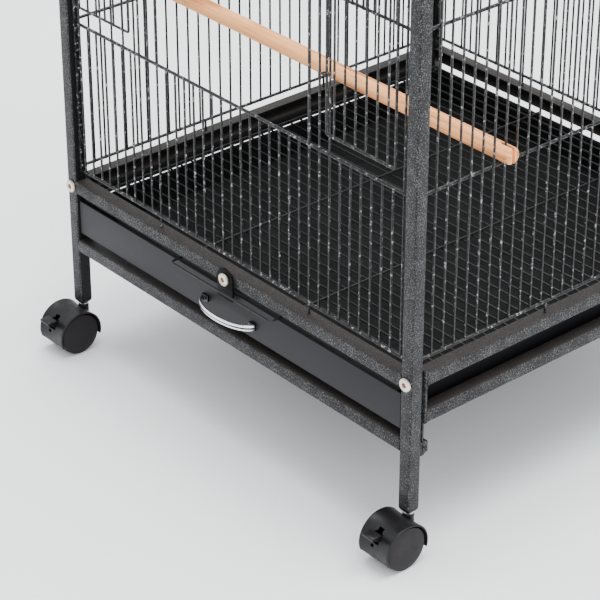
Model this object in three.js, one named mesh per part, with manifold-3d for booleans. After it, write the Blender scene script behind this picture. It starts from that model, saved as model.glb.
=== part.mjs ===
// A floor-standing wire bird cage on four twin-wheel casters.
// Units are millimetres. X runs left to right along the drawer front, -Y is the front, +Z is up.
// The origin is on the floor, below the middle of the cage.
import * as THREE from "three";
import { mergeVertices } from "three/addons/utils/BufferGeometryUtils.js";
import Module from "manifold-3d";

const wasm = await Module();
wasm.setup();

// ---- driving dimensions ----
const HALF = 280; // half the outside width and depth, over the posts
const TUBE = 15; // side of the square tube of posts and rails
const WALL = 1.2; // wall of that tube
const GAP = 0.3; // air between pieces that touch
const POST_BOTTOM = 58;
const POST_TOP = 1245;
const TOP_FRAME_TOP = 1260;
const TOP_SHEET = 1.5; // sheet of the top frame's channel
const TOP_WIRE_Z = 1254;
const TOP_ROD_Y = 90;
const INNER = HALF - TUBE; // inner face of the posts and rails
const POST_CENTRE = HALF - TUBE / 2;

const UPPER_RAIL_Z = 196; // underside of the rails that carry the wire panels
const LOWER_RAIL_Z = 122.5; // underside of the front and rear lower rails
const SIDE_LOWER_Z = 153.5; // underside of the side frames' lower rails
const END_PLATE = 3; // side frame end plate
const END_GAP = 3.8; // air between that plate and the post
const TAB_BOTTOM = 115.5;
const TAB_TOP = 131;
const TAB_REACH = 253.5; // bolting tab's free edge from the middle
const RUNNER_IN = 247; // inner edge of the tray runners
const RUNNER_HALF = 250; // half length of the tray runners
const LEDGE_Z = 186.2; // underside of the grate ledges
const LEDGE_HALF = 252;
const WELD = 0.5; // overlap of welded pieces

const PITCH = 15; // spacing of the panel wires and the grate wires
const WIRE = 2.2; // side of a wire's square section
const ROD = 3.4; // side of a thicker rod's square section
const THIN_ROD = 3.2; // rods that end in thicker ones
const BACK_ROD = 3; // rods that run behind the wires
const BACK_ROD_V = -3.2; // centre of those rods, from the wire plane
const PANEL_INSET = 8; // wire plane behind the posts' outer face
const PANEL_PLANE = HALF - PANEL_INSET;
const ROD_LEVELS = [224, 401.5, 568.5, 736, 903, 1070, 1237];
const STILE = 3; // width of a panel's edge bar
const STILE_DEPTH = 6;

const DOOR_HALF = 120; // half width of the main door opening
const DOOR_EDGE = 128; // centre of the main door's edge rods
const DOOR_PLANE = PANEL_PLANE + 5.2; // wire plane of the sliding doors
const DOOR_RAISED = 334; // how far the main door is raised at rest
const DOOR_HEIGHT = 328;
const DOOR_ROD = 2.8; // edge rods of the sliding doors
const MAIN_GUIDE_LEVELS = [590, 715, 860, 1010];
const FEEDER_WIRE = 150; // fixed wire beside each feeder opening
const FEEDER_WIDTH = 96.6;
const FEEDER_LEFT_X = -256; // left edge rod of each feeder door
const FEEDER_RIGHT_X = 151;
const FEEDER_WIRE_IN = 10.8; // edge rod to the nearest wire of a feeder door
const FEEDER_BOTTOM = 424;
const FEEDER_TOP = 600;
const FEEDER_GUIDE_LEVELS = [488, 590, 690];
const GUIDE_THICK = 1.6;
const GUIDE_HALF = 1.5; // half height of a guide wire
const GUIDE_REACH = 9.2; // guide's front face, from the wire plane
const GUIDE_HOOK = 3.5; // how far a guide's tip stands past an edge rod
const GUIDE_STAND = 5; // right feeder's inner guides, beside their wire
const SIDE_FOOT = 90; // feet of the side panels, either side of the middle

const TRAY_BOTTOM = 147;
const TRAY_TOP = 187.5;
const TRAY_HALF = 256.5;
const SHEET = 1.2;
const FASCIA_HALF = 262.7;
const FASCIA_FRONT = 277.5;
const FASCIA_THICK = 1.5;

const GRATE_Z = 189.3; // centre of the grate wires
const GRATE_HALF = 261.3; // centre of the grate's edge bars
const GRATE_FRONT = 272;
const GRATE_REAR = 262;
const GRATE_FIRST = -260; // first cross wire
const GRATE_COUNT = 35;
const GRATE_BAR = 2.6; // side of the grate's edge bars
const PULL_HALF = 82; // half width of the pull loop
const PULL_REACH = 291;
const PULL_WIRE = 2.4;
const PULL_RISE = 1.6; // pull wires above the grate's bars

const SCREW_Z = UPPER_RAIL_Z + TUBE / 2;
const HEAD_R = 7;
const HEAD_THICK = 3;
const SHANK_R = 2.3;
const SOCKET_R = 2.2;
const SOCKET_DEEP = 1.6;
const LATCH_R = 12.8;
const LATCH_DROP = 23.5; // screw centre to the latch plate's lower edge
const LATCH_CORNER = 3;
const LATCH_FACE = HALF + 1.9; // the latch plate's back
const LATCH_THICK = 1.8;
const PLUG_FOOT = 4.5; // height of the post plug below the tube
const PLUG_CHAMFER = 1.8;
const PLUG_SHANK = 24;
const PLUG_BORE_R = 4.2;

const PERCH_R = 9;
const PERCH_Y = -157.5; // on a wire of the side panels
const PERCH_Z = ROD_LEVELS[1] + PERCH_R + 2; // the perch lies on the side panels' rods
const PERCH_END = 11; // how far the perch stands out past the wire plane
const PERCH_SLOT = 6; // how far its end slots run in past the wire plane

const HANDLE_HALF = 44;
const HANDLE_REACH = 21;
const HANDLE_Z = 162.8;
const HANDLE_THICK = 2.4;
const HANDLE_TALL = 7.5;
const FOOT_X = HANDLE_HALF - 5; // middle of each handle foot and its screw
const FOOT_HALF = 5.5;
const FOOT_TALL = 8;
const FOOT_THICK = 3;
const HANDLE_SCREW_R = 1.6;

const WHEEL_R = 25;
const WHEEL_TRAIL = 20; // wheel axle behind the swivel axis
const WHEEL_IN = 6.4; // inner face of each wheel from the caster's middle plane
const WHEEL_OUT = 19.5;
const AXLE_R = 3;
const HOOD_R = 27.3;
const HOOD_IN = 25.5;
const HOOD_HALF = 21.4;
const HOOD_FROM = -16; // the hood's cover band, in degrees about the axle from the swivel side
const HOOD_TO = 201;
const WEB = 5.9; // half thickness of the hood's middle web
const BOSS_R = 6; // boss for the stem
const BOSS_TOP = 50;
const PIN_R = 3.3; // lower end of the caster stem
const COLLAR_R = 5.6;
const STEM_R = 3.8; // part of the stem in the post plug
const STEM_TOP = 78;
const LEVER_HALF = 4.8; // half thickness of the brake lever between the wheels
const PEDAL_HALF = 8;

// ---- finishes ----
const HAMMERED = { color: 0x4c4c4e, roughness: 0.55, metalness: 0.6 };
const WIRE_BLACK = { color: 0x1d1e20, roughness: 0.45, metalness: 0.6 };
const CHARCOAL = { color: 0x47474b, roughness: 0.5, metalness: 0.4 };
const CHROME = { color: 0xd8d8d8, roughness: 0.12, metalness: 1 };
const NICKEL = { color: 0xd6cdbb, roughness: 0.3, metalness: 1 };
const PLASTIC = { color: 0x17181b, roughness: 0.5, metalness: 0 };
const PINE = { color: 0xe8b98c, roughness: 0.65, metalness: 0 };
const ZINC = { color: 0xb9bcc0, roughness: 0.3, metalness: 1 };

const cage = new THREE.Group();
cage.name = "bird_cage";

// ---- solids ----
function toSolid(geometry) {
  const bare = geometry.index ? geometry.toNonIndexed() : geometry.clone();
  bare.deleteAttribute("normal");
  bare.deleteAttribute("uv");
  const merged = mergeVertices(bare, 1e-4);
  const vertProperties = merged.attributes.position.array;
  const triVerts = new Uint32Array(merged.index.array);
  return new wasm.Manifold(new wasm.Mesh({ numProp: 3, vertProperties, triVerts }));
}

function toGeometry(solid) {
  const mesh = solid.getMesh();
  const geometry = new THREE.BufferGeometry();
  geometry.setAttribute("position", new THREE.BufferAttribute(mesh.vertProperties, 3));
  geometry.setIndex(new THREE.BufferAttribute(mesh.triVerts, 1));
  geometry.computeVertexNormals();
  return geometry;
}

// A block between two opposite corners.
function block(x0, x1, y0, y1, z0, z1) {
  const geometry = new THREE.BoxGeometry(Math.abs(x1 - x0), Math.abs(y1 - y0), Math.abs(z1 - z0));
  geometry.translate((x0 + x1) / 2, (y0 + y1) / 2, (z0 + z1) / 2);
  return toSolid(geometry);
}

function join(solids) {
  return solids.reduce((whole, piece) => whole.add(piece));
}

function cut(solid, tools) {
  return tools.reduce((whole, tool) => whole.subtract(tool), solid);
}

// A round bar from one point to another along X, Y or Z.
function roundBar(radius, axis, from, to, centre, sides = 12) {
  const length = Math.abs(to - from);
  const geometry = new THREE.CylinderGeometry(radius, radius, length, sides);
  const middle = (from + to) / 2;
  if (axis === "x") geometry.rotateZ(Math.PI / 2).translate(middle, centre[0], centre[1]);
  if (axis === "y") geometry.translate(centre[0], middle, centre[1]);
  if (axis === "z") geometry.rotateX(Math.PI / 2).translate(centre[0], centre[1], middle);
  return toSolid(geometry);
}

// A profile drawn in the YZ plane and extruded along X from x0 to x1.
function slabAcross(shape, x0, x1, curveSegments = 6) {
  const geometry = new THREE.ExtrudeGeometry(shape, { depth: x1 - x0, bevelEnabled: false, curveSegments });
  geometry.applyMatrix4(new THREE.Matrix4().makeBasis(
    new THREE.Vector3(0, 1, 0),
    new THREE.Vector3(0, 0, 1),
    new THREE.Vector3(1, 0, 0),
  ));
  geometry.translate(x0, 0, 0);
  return toSolid(geometry);
}

function polygon(points) {
  return new THREE.Shape(points.map(([a, b]) => new THREE.Vector2(a, b)));
}

function add(name, solid, finish, parent = cage) {
  const mesh = new THREE.Mesh(toGeometry(solid), new THREE.MeshStandardMaterial(finish));
  mesh.name = name;
  parent.add(mesh);
}

// Square tube along one axis, open at both ends. The two spans are its cross section's outer limits.
function squareTube(axis, from, to, spanA, spanB) {
  const inA = [spanA[0] + WALL, spanA[1] - WALL];
  const inB = [spanB[0] + WALL, spanB[1] - WALL];
  const past = 1;
  if (axis === "x")
    return block(from, to, ...spanA, ...spanB).subtract(block(from - past, to + past, ...inA, ...inB));
  if (axis === "y")
    return block(...spanA, from, to, ...spanB).subtract(block(...inA, from - past, to + past, ...inB));
  return block(...spanA, ...spanB, from, to).subtract(block(...inA, ...inB, from - past, to + past));
}

const CORNERS = [
  { name: "front_left", x: -1, y: -1 },
  { name: "front_right", x: 1, y: -1 },
  { name: "rear_left", x: -1, y: 1 },
  { name: "rear_right", x: 1, y: 1 },
];

function span(sign, near, far) {
  return sign > 0 ? [near, far] : [-far, -near];
}

// ---- posts, their plugs and bolts ----
function makePosts() {
  for (const corner of CORNERS) {
    const spanX = span(corner.x, INNER, HALF);
    const spanY = span(corner.y, INNER, HALF);
    const tube = squareTube("z", POST_BOTTOM, POST_TOP, spanX, spanY);
    const centreX = corner.x * POST_CENTRE;
    const holeFrom = corner.y * (INNER - 1);
    const hole = roundBar(SHANK_R + GAP, "y", holeFrom, corner.y * (HALF + 1), [centreX, SCREW_Z], 10);
    add("post_" + corner.name, tube.subtract(hole), HAMMERED);
    add("post_plug_" + corner.name, plug(centreX, corner.y * POST_CENTRE), PLASTIC);
    add("post_bolt_" + corner.name, socketScrew(corner.y, centreX, HALF + GAP, INNER + 0.5), NICKEL);
  }
}

// Plastic insert with a chamfered foot, a shank in the tube and a bore for the caster stem.
function plug(x, y) {
  const half = TUBE / 2;
  const low = half - PLUG_CHAMFER;
  const shank = half - WALL - GAP;
  const top = POST_BOTTOM - GAP;
  const foot = top - PLUG_FOOT;
  const side = polygon([
    [-half, top], [-half, foot + PLUG_CHAMFER], [-low, foot],
    [low, foot], [half, foot + PLUG_CHAMFER], [half, top],
  ]);
  const along = slabAcross(side, -half, half);
  const head = along.intersect(along.rotate([0, 0, 90]));
  const body = head.add(block(-shank, shank, -shank, shank, top - 1, top + PLUG_SHANK));
  const bore = roundBar(PLUG_BORE_R, "z", foot - 1, top + PLUG_SHANK + 1, [0, 0]);
  return body.subtract(bore).translate([x, y, 0]);
}

// Flat-headed screw along Y with a hexagon socket; side is -1 at the front and 1 at the rear.
function socketScrew(side, x, headFrom, shankTo) {
  const face = headFrom + HEAD_THICK;
  const head = roundBar(HEAD_R, "y", side * headFrom, side * face, [x, SCREW_Z], 16);
  const shank = roundBar(SHANK_R, "y", side * shankTo, side * (headFrom + 1), [x, SCREW_Z], 10);
  const socket = roundBar(SOCKET_R, "y", side * (face - SOCKET_DEEP), side * (face + 1), [x, SCREW_Z], 6);
  return head.add(shank).subtract(socket);
}

// ---- rails ----
const RAIL_HALF = INNER - GAP;

function makeRails() {
  const low = [LOWER_RAIL_Z, LOWER_RAIL_Z + TUBE];
  const screwHole = roundBar(SHANK_R + GAP, "y", -HALF - 1, -HALF + WALL + 1, [0, SCREW_Z], 10);
  add("front_upper_rail", channel(-1).subtract(screwHole), HAMMERED);
  add("front_lower_rail", squareTube("x", -RAIL_HALF, RAIL_HALF, [-HALF, -INNER], low), HAMMERED);
  add("rear_upper_rail", channel(1), HAMMERED);
  add("rear_lower_rail", squareTube("x", -RAIL_HALF, RAIL_HALF, [INNER, HALF], low), HAMMERED);
  add("side_frame_left", sideFrame().mirror([1, 0, 0]), HAMMERED);
  add("side_frame_right", sideFrame(), HAMMERED);
}

// Upper rail along X, open towards the middle of the cage; side is -1 at the front and 1 at the rear.
function channel(side) {
  const top = UPPER_RAIL_Z + TUBE;
  const outer = block(-RAIL_HALF, RAIL_HALF, side * INNER, side * HALF, UPPER_RAIL_Z, top);
  const past = RAIL_HALF + 1;
  const opening = [side * (INNER - 1), side * (HALF - WALL)];
  const hollow = block(-past, past, ...opening, UPPER_RAIL_Z + WALL, top - WALL);
  return outer.subtract(hollow);
}

// Welded side frame: an open channel above, a tube below, an end plate with a bolting tab at
// each end, a tray runner and a grate ledge.
function sideFrame() {
  const end = INNER - END_GAP - END_PLATE;
  const plateOut = end + END_PLATE;
  const upperTop = UPPER_RAIL_Z + TUBE;
  const lowerTop = SIDE_LOWER_Z + TUBE;
  const runnerTop = TRAY_BOTTOM - GAP;
  const runnerFoot = runnerTop - 1.5;
  const pieces = [
    block(INNER, HALF, -end - 1, end + 1, UPPER_RAIL_Z, upperTop),
    block(INNER, HALF, -end - 1, end + 1, SIDE_LOWER_Z, lowerTop),
    block(INNER - 1.5, INNER + WELD, -RUNNER_HALF, RUNNER_HALF, runnerFoot, SIDE_LOWER_Z + 6),
    block(RUNNER_IN, INNER + WELD, -RUNNER_HALF, RUNNER_HALF, runnerFoot, runnerTop),
    block(INNER - 1.1, INNER + WELD, -LEDGE_HALF, LEDGE_HALF, LEDGE_Z, UPPER_RAIL_Z + 0.8),
    block(INNER - 5.5, INNER + WELD, -LEDGE_HALF, LEDGE_HALF, LEDGE_Z, LEDGE_Z + SHEET),
  ];
  for (const side of [-1, 1]) {
    pieces.push(block(INNER, HALF, side * end, side * plateOut, SIDE_LOWER_Z, upperTop + 2));
    const neck = side * (end + WELD);
    pieces.push(block(INNER + 3, HALF - 3, neck, side * plateOut, TAB_TOP - 1, SIDE_LOWER_Z + 1));
    pieces.push(boltTab(side));
  }
  const window = 3;
  const reach = end - 1;
  const hollows = [
    block(INNER - 2, HALF - WALL, -reach, reach, UPPER_RAIL_Z + WALL, upperTop - WALL),
    block(INNER + WALL, HALF - WALL, -reach, reach, SIDE_LOWER_Z + WALL, lowerTop - WALL),
    block(POST_CENTRE - window, POST_CENTRE + window, -INNER, INNER, SIDE_LOWER_Z + 4, SIDE_LOWER_Z + 10),
  ];
  return cut(join(pieces), hollows);
}

// Tab below an end plate, with its lower corner cut off.
function boltTab(side) {
  const near = INNER - GAP;
  const outline = polygon([
    [side * near, TAB_BOTTOM], [side * (TAB_REACH + 6), TAB_BOTTOM], [side * TAB_REACH, TAB_BOTTOM + 3.2],
    [side * TAB_REACH, TAB_TOP], [side * near, TAB_TOP],
  ]);
  return slabAcross(outline, INNER + 2.5, HALF - 2.5);
}

// ---- wire panels ----
// Panels are drawn in their own frame: u along the panel, v outwards from the wire plane, z up.
function bar(u0, u1, z0, z1, section, v = 0) {
  return block(u0, u1, v - section / 2, v + section / 2, z0, z1);
}

function upright(u, z0, z1, section = WIRE) {
  return bar(u - section / 2, u + section / 2, z0, z1, section);
}

function crossRod(u0, u1, z, section = ROD, v = 0) {
  return bar(u0, u1, z - section / 2, z + section / 2, section, v);
}

const STILE_U = INNER - 0.6 - STILE / 2;

// Bottom and top rods, the two edge bars and the rods that run behind the wires.
function panelFrame(backLevels, feet) {
  const bottom = ROD_LEVELS[0];
  const top = ROD_LEVELS.at(-1);
  const pieces = [];
  for (const side of [-1, 1]) {
    const u = side * STILE_U;
    const front = ROD / 2;
    const back = front - STILE_DEPTH;
    pieces.push(block(u - STILE / 2, u + STILE / 2, back, front, bottom - ROD / 2, top + ROD / 2));
    pieces.push(upright(side * feet, UPPER_RAIL_Z + TUBE + GAP, bottom, WIRE));
  }
  for (const z of [bottom, top]) pieces.push(crossRod(-STILE_U, STILE_U, z));
  for (const z of backLevels) pieces.push(crossRod(-STILE_U, STILE_U, z, BACK_ROD, BACK_ROD_V));
  return pieces;
}

function plainPanel(positions, feet) {
  const bottom = ROD_LEVELS[0];
  const top = ROD_LEVELS.at(-1);
  const wires = positions.map((u) => upright(u, bottom, top));
  return join([...panelFrame(ROD_LEVELS.slice(1, -1), feet), ...wires]);
}

function wireRow(first, last) {
  const count = Math.round((last - first) / PITCH) + 1;
  return Array.from({ length: count }, (_, i) => first + i * PITCH);
}

const FACE_WIRES = wireRow(-17 * PITCH, 17 * PITCH);
const SIDE_WIRES = wireRow(-16.5 * PITCH, 16.5 * PITCH);

// The front panel leaves a main doorway and two feeder openings between the wires.
function frontPanel() {
  const [bottom, sill, feederHead, doorHead] = ROD_LEVELS;
  const top = ROD_LEVELS.at(-1);
  const pieces = panelFrame(ROD_LEVELS.slice(4, -1), DOOR_HALF);
  pieces.push(crossRod(-STILE_U, STILE_U, sill));
  pieces.push(crossRod(-DOOR_HALF, DOOR_HALF, doorHead));
  for (const side of [-1, 1]) {
    pieces.push(crossRod(side * FEEDER_WIRE, side * STILE_U, feederHead, THIN_ROD));
    pieces.push(upright(side * DOOR_HALF, sill, top, THIN_ROD));
  }
  for (const u of FACE_WIRES) {
    const reach = Math.abs(u);
    pieces.push(upright(u, bottom, sill));
    if (reach < DOOR_HALF) pieces.push(upright(u, doorHead, top));
    if (reach > DOOR_HALF && reach <= FEEDER_WIRE) pieces.push(upright(u, sill, top));
    if (reach > FEEDER_WIRE) pieces.push(upright(u, feederHead, top));
    if (reach > 16 * PITCH) pieces.push(upright(u, sill, feederHead));
  }
  return join([...pieces, ...doorGuides()]);
}

// Bent wire guides on the fixed wires, each passing in front of an edge rod of a sliding door.
function doorGuides() {
  const guides = [];
  for (const z of MAIN_GUIDE_LEVELS)
    for (const side of [-1, 1])
      guides.push(guide(side * (DOOR_HALF + PITCH), side * (DOOR_EDGE - GUIDE_HOOK), z));
  const standing = FEEDER_WIRE - GUIDE_STAND - GUIDE_THICK / 2;
  for (const z of FEEDER_GUIDE_LEVELS) {
    guides.push(guide(-STILE_U, FEEDER_LEFT_X + GUIDE_HOOK, z));
    guides.push(guide(-FEEDER_WIRE, FEEDER_LEFT_X + FEEDER_WIDTH - GUIDE_HOOK, z));
    guides.push(guide(FEEDER_WIRE - GUIDE_STAND, FEEDER_RIGHT_X + GUIDE_HOOK, z));
    guides.push(bar(standing, FEEDER_WIRE, z - GUIDE_HALF, z + GUIDE_HALF, GUIDE_THICK));
    guides.push(guide(17 * PITCH, FEEDER_RIGHT_X + FEEDER_WIDTH - GUIDE_HOOK, z));
  }
  return guides;
}

// An L of wire: out from the wire plane at u, then sideways to the tip.
function guide(u, tip, z) {
  const from = u - Math.sign(tip - u) * (GUIDE_THICK / 2);
  const legWidth = [u - GUIDE_THICK / 2, u + GUIDE_THICK / 2];
  const leg = block(...legWidth, 0, GUIDE_REACH, z - GUIDE_HALF, z + GUIDE_HALF);
  const arm = block(from, tip, GUIDE_REACH - GUIDE_THICK, GUIDE_REACH, z - GUIDE_HALF, z + GUIDE_HALF);
  return leg.add(arm);
}

function placePanel(name, solid, turn) {
  add(name, solid.mirror([0, 1, 0]).translate([0, -PANEL_PLANE, 0]).rotate([0, 0, turn]), WIRE_BLACK);
}

// Channel-section frame over the posts with wires across it.
function topPanel() {
  const floor = POST_TOP + GAP;
  const outer = HALF - TOP_SHEET;
  const inner = INNER + TOP_SHEET;
  const end = INNER + 0.8;
  const ring = block(-HALF, HALF, -HALF, HALF, floor, TOP_FRAME_TOP)
    .subtract(block(-INNER, INNER, -INNER, INNER, floor - 1, TOP_FRAME_TOP + 1));
  const channel = block(-outer, outer, -outer, outer, floor - 1, TOP_FRAME_TOP - TOP_SHEET)
    .subtract(block(-inner, inner, -inner, inner, floor - 2, TOP_FRAME_TOP));
  const wires = FACE_WIRES.map((x) => wireAlongY(x, -end, end, TOP_WIRE_Z));
  const under = TOP_WIRE_Z - WIRE / 2 - GAP - ROD / 2;
  const rods = [-TOP_ROD_Y, TOP_ROD_Y].map((y) => rodAlongX(-end, end, y, under, ROD));
  return join([ring.subtract(channel), ...wires, ...rods]);
}

function wireAlongY(x, from, to, z, section = WIRE) {
  return block(x - section / 2, x + section / 2, from, to, z - section / 2, z + section / 2);
}

function rodAlongX(from, to, y, z, section) {
  return block(from, to, y - section / 2, y + section / 2, z - section / 2, z + section / 2);
}

function makePanels() {
  placePanel("front_panel", frontPanel(), 0);
  placePanel("right_panel", plainPanel(SIDE_WIRES, SIDE_FOOT), 90);
  placePanel("rear_panel", plainPanel(FACE_WIRES, DOOR_HALF), 180);
  placePanel("left_panel", plainPanel(SIDE_WIRES, SIDE_FOOT), 270);
  add("top_panel", topPanel(), HAMMERED);
}

// ---- sliding doors ----
// Wires between two edge rods, drawn in the panel frame.
function wireDoor(left, right, bottom, top, wires) {
  const pieces = [
    upright(left, bottom, top, DOOR_ROD),
    upright(right, bottom, top, DOOR_ROD),
    crossRod(left, right, bottom + DOOR_ROD / 2, DOOR_ROD),
    crossRod(left, right, top - DOOR_ROD / 2, DOOR_ROD),
  ];
  for (const u of wires) pieces.push(upright(u, bottom + 1, top - 1));
  return join(pieces);
}

function placeDoor(name, solid) {
  add(name, solid.translate([0, -DOOR_PLANE, 0]), WIRE_BLACK);
}

function makeDoors() {
  const bottom = ROD_LEVELS[1] + DOOR_RAISED + 4;
  const top = bottom + DOOR_HEIGHT;
  placeDoor("main_door", wireDoor(-DOOR_EDGE, DOOR_EDGE, bottom, top, wireRow(-7.5 * PITCH, 7.5 * PITCH)));
  for (const [side, x] of [["left", FEEDER_LEFT_X], ["right", FEEDER_RIGHT_X]]) {
    const wires = wireRow(x + FEEDER_WIRE_IN, x + FEEDER_WIRE_IN + 5 * PITCH);
    placeDoor("feeder_door_" + side, wireDoor(x, x + FEEDER_WIDTH, FEEDER_BOTTOM, FEEDER_TOP, wires));
  }
}

// ---- perch ----
// Wooden dowel that lies on a rod of each side panel, with a slot in each end round a wire.
function makePerch() {
  const end = PANEL_PLANE + PERCH_END;
  const slotHalf = WIRE / 2 + 2 * GAP;
  const past = PERCH_R + 1;
  const dowel = roundBar(PERCH_R, "x", -end, end, [PERCH_Y, PERCH_Z], 16);
  const slots = [-1, 1].map((side) => block(
    side * (PANEL_PLANE - PERCH_SLOT), side * (end + 1),
    PERCH_Y - slotHalf, PERCH_Y + slotHalf,
    PERCH_Z - past, PERCH_Z + past,
  ));
  add("perch", cut(dowel, slots), PINE);
}

// ---- drawer ----
function makeDrawer() {
  const back = INNER - 2;
  const face = -FASCIA_FRONT;
  const outer = block(-TRAY_HALF, TRAY_HALF, face + 0.8, back, TRAY_BOTTOM, TRAY_TOP);
  const inside = block(
    -TRAY_HALF + SHEET, TRAY_HALF - SHEET,
    face + FASCIA_THICK, back - SHEET,
    TRAY_BOTTOM + SHEET, TRAY_TOP + 1,
  );
  const fascia = block(-FASCIA_HALF, FASCIA_HALF, face, face + FASCIA_THICK, TRAY_BOTTOM, TRAY_TOP - 0.5);
  const holes = [-FOOT_X, FOOT_X].map((x) =>
    roundBar(HANDLE_SCREW_R + GAP, "y", face - 1, face + 3, [x, HANDLE_Z], 10));
  add("drawer_tray", cut(outer.subtract(inside).add(fascia), holes), CHARCOAL);
  add("drawer_handle", handle(), CHROME);
  add("handle_screw_left", handleScrew(-FOOT_X), ZINC);
  add("handle_screw_right", handleScrew(FOOT_X), ZINC);
}

// Bowed chrome strap with a flat foot at each end.
function handle() {
  const face = -FASCIA_FRONT - GAP;
  const steps = 14;
  const outer = [];
  const inner = [];
  for (let i = 0; i <= steps; i++) {
    const angle = (Math.PI * i) / steps;
    const across = Math.cos(angle);
    const outward = Math.sin(angle);
    outer.push([HANDLE_HALF * across, face - HANDLE_REACH * outward]);
    inner.push([(HANDLE_HALF - HANDLE_THICK) * across, face - (HANDLE_REACH - HANDLE_THICK) * outward]);
  }
  const outline = polygon([...outer, ...inner.reverse()]);
  const bow = uprightSlab(outline, HANDLE_Z - HANDLE_TALL / 2, HANDLE_Z + HANDLE_TALL / 2);
  const feet = [-FOOT_X, FOOT_X].map((x) => block(
    x - FOOT_HALF, x + FOOT_HALF,
    face - FOOT_THICK, face,
    HANDLE_Z - FOOT_TALL / 2, HANDLE_Z + FOOT_TALL / 2,
  ));
  return join([bow, ...feet]);
}

// A plan outline extruded upwards from z0 to z1.
function uprightSlab(shape, z0, z1) {
  const settings = { depth: z1 - z0, bevelEnabled: false, curveSegments: 8 };
  const geometry = new THREE.ExtrudeGeometry(shape, settings);
  geometry.translate(0, 0, z0);
  return toSolid(geometry);
}

// Pan-head screw from inside the drawer front into a handle foot.
function handleScrew(x) {
  const inside = -FASCIA_FRONT + FASCIA_THICK + GAP;
  const head = roundBar(3.4, "y", inside, inside + 2.2, [x, HANDLE_Z], 10);
  const shank = roundBar(HANDLE_SCREW_R, "y", -FASCIA_FRONT, inside + 1, [x, HANDLE_Z], 8);
  return head.add(shank);
}

// ---- grate and latch ----
function makeGrate() {
  const edge = GRATE_BAR;
  const low = GRATE_Z - 1.5;
  const high = GRATE_Z + 1.2;
  const pullZ = high + PULL_RISE;
  const half = GRATE_HALF;
  const pieces = [
    block(-half - edge / 2, half + edge / 2, -GRATE_FRONT - edge / 2, -GRATE_FRONT + edge / 2, low, high),
    block(-half - edge / 2, half + edge / 2, GRATE_REAR - edge / 2, GRATE_REAR + edge / 2, low, high),
  ];
  for (const side of [-1, 1]) {
    const edgeX = side * half;
    const pullX = side * PULL_HALF;
    pieces.push(block(edgeX - edge / 2, edgeX + edge / 2, -GRATE_FRONT, GRATE_REAR, low, high));
    pieces.push(wireAlongY(pullX, -PULL_REACH, GRATE_REAR + 1, pullZ, PULL_WIRE));
    for (const y of [-GRATE_FRONT, GRATE_REAR])
      pieces.push(block(pullX - 0.9, pullX + 0.9, y - 0.7, y + 0.7, low + 1, pullZ));
  }
  pieces.push(rodAlongX(-PULL_HALF - 1.4, PULL_HALF + 1.4, -PULL_REACH, pullZ, PULL_WIRE + 0.2));
  for (let i = 0; i < GRATE_COUNT; i++)
    pieces.push(rodAlongX(-half, half, GRATE_FIRST + i * PITCH, GRATE_Z, WIRE));
  add("floor_grate", join(pieces), WIRE_BLACK);
}

// Turn-plate that hangs from a screw over the grate and the drawer's top edge.
function makeLatch() {
  const low = SCREW_Z - LATCH_DROP;
  const shape = new THREE.Shape();
  shape.absarc(0, SCREW_Z, LATCH_R, 0, Math.PI, false);
  shape.lineTo(-LATCH_R, low + LATCH_CORNER);
  shape.lineTo(-LATCH_R + LATCH_CORNER, low);
  shape.lineTo(LATCH_R - LATCH_CORNER, low);
  shape.lineTo(LATCH_R, low + LATCH_CORNER);
  const hole = new THREE.Path();
  hole.absarc(0, SCREW_Z, SHANK_R + GAP, 0, 2 * Math.PI, true);
  shape.holes.push(hole);
  add("latch_plate", standingSlab(shape, -LATCH_FACE, LATCH_THICK), CHARCOAL);
  add("latch_screw", socketScrew(-1, 0, LATCH_FACE + LATCH_THICK + GAP, HALF - 6), NICKEL);
}

// A profile drawn in the XZ plane and extruded forwards from y.
function standingSlab(shape, y, thick) {
  const settings = { depth: thick, bevelEnabled: false, curveSegments: 10 };
  const geometry = new THREE.ExtrudeGeometry(shape, settings);
  geometry.applyMatrix4(new THREE.Matrix4().makeBasis(
    new THREE.Vector3(1, 0, 0),
    new THREE.Vector3(0, 0, 1),
    new THREE.Vector3(0, -1, 0),
  ));
  geometry.translate(0, y, 0);
  return toSolid(geometry);
}

// ---- casters ----
// Each caster is drawn about its swivel axis, with its wheels towards -Y, and turned to trail outwards.
function makeCasters() {
  for (const corner of CORNERS) {
    const group = new THREE.Group();
    group.position.set(corner.x * POST_CENTRE, corner.y * POST_CENTRE, 0);
    group.rotation.z = corner.y > 0 ? Math.PI : 0;
    cage.add(group);
    const name = "caster_" + corner.name + "_";
    add(name + "stem", stem(), ZINC, group);
    add(name + "hood", hood(), PLASTIC, group);
    add(name + "axle", roundBar(AXLE_R, "x", -16, 16, [-WHEEL_TRAIL, WHEEL_R], 10), ZINC, group);
    add(name + "wheel_left", wheel().mirror([1, 0, 0]), PLASTIC, group);
    add(name + "wheel_right", wheel(), PLASTIC, group);
    add(name + "brake_lever", brakeLever(), PLASTIC, group);
  }
}

// Turned steel stem: shank in the post plug, collar below it and swivel pin in the hood.
function stem() {
  const foot = 24;
  const collar = BOSS_TOP + 2 * GAP;
  const neck = collar + 2.2;
  return turned([
    [0, foot], [PIN_R, foot], [PIN_R, collar], [COLLAR_R, collar],
    [COLLAR_R, neck], [STEM_R, neck], [STEM_R, STEM_TOP], [0, STEM_TOP],
  ], 12);
}

// A profile of radius and height, turned about Z.
function turned(profile, sides) {
  const geometry = new THREE.LatheGeometry(profile.map(([r, z]) => new THREE.Vector2(r, z)), sides);
  geometry.rotateX(Math.PI / 2);
  return toSolid(geometry);
}

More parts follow.
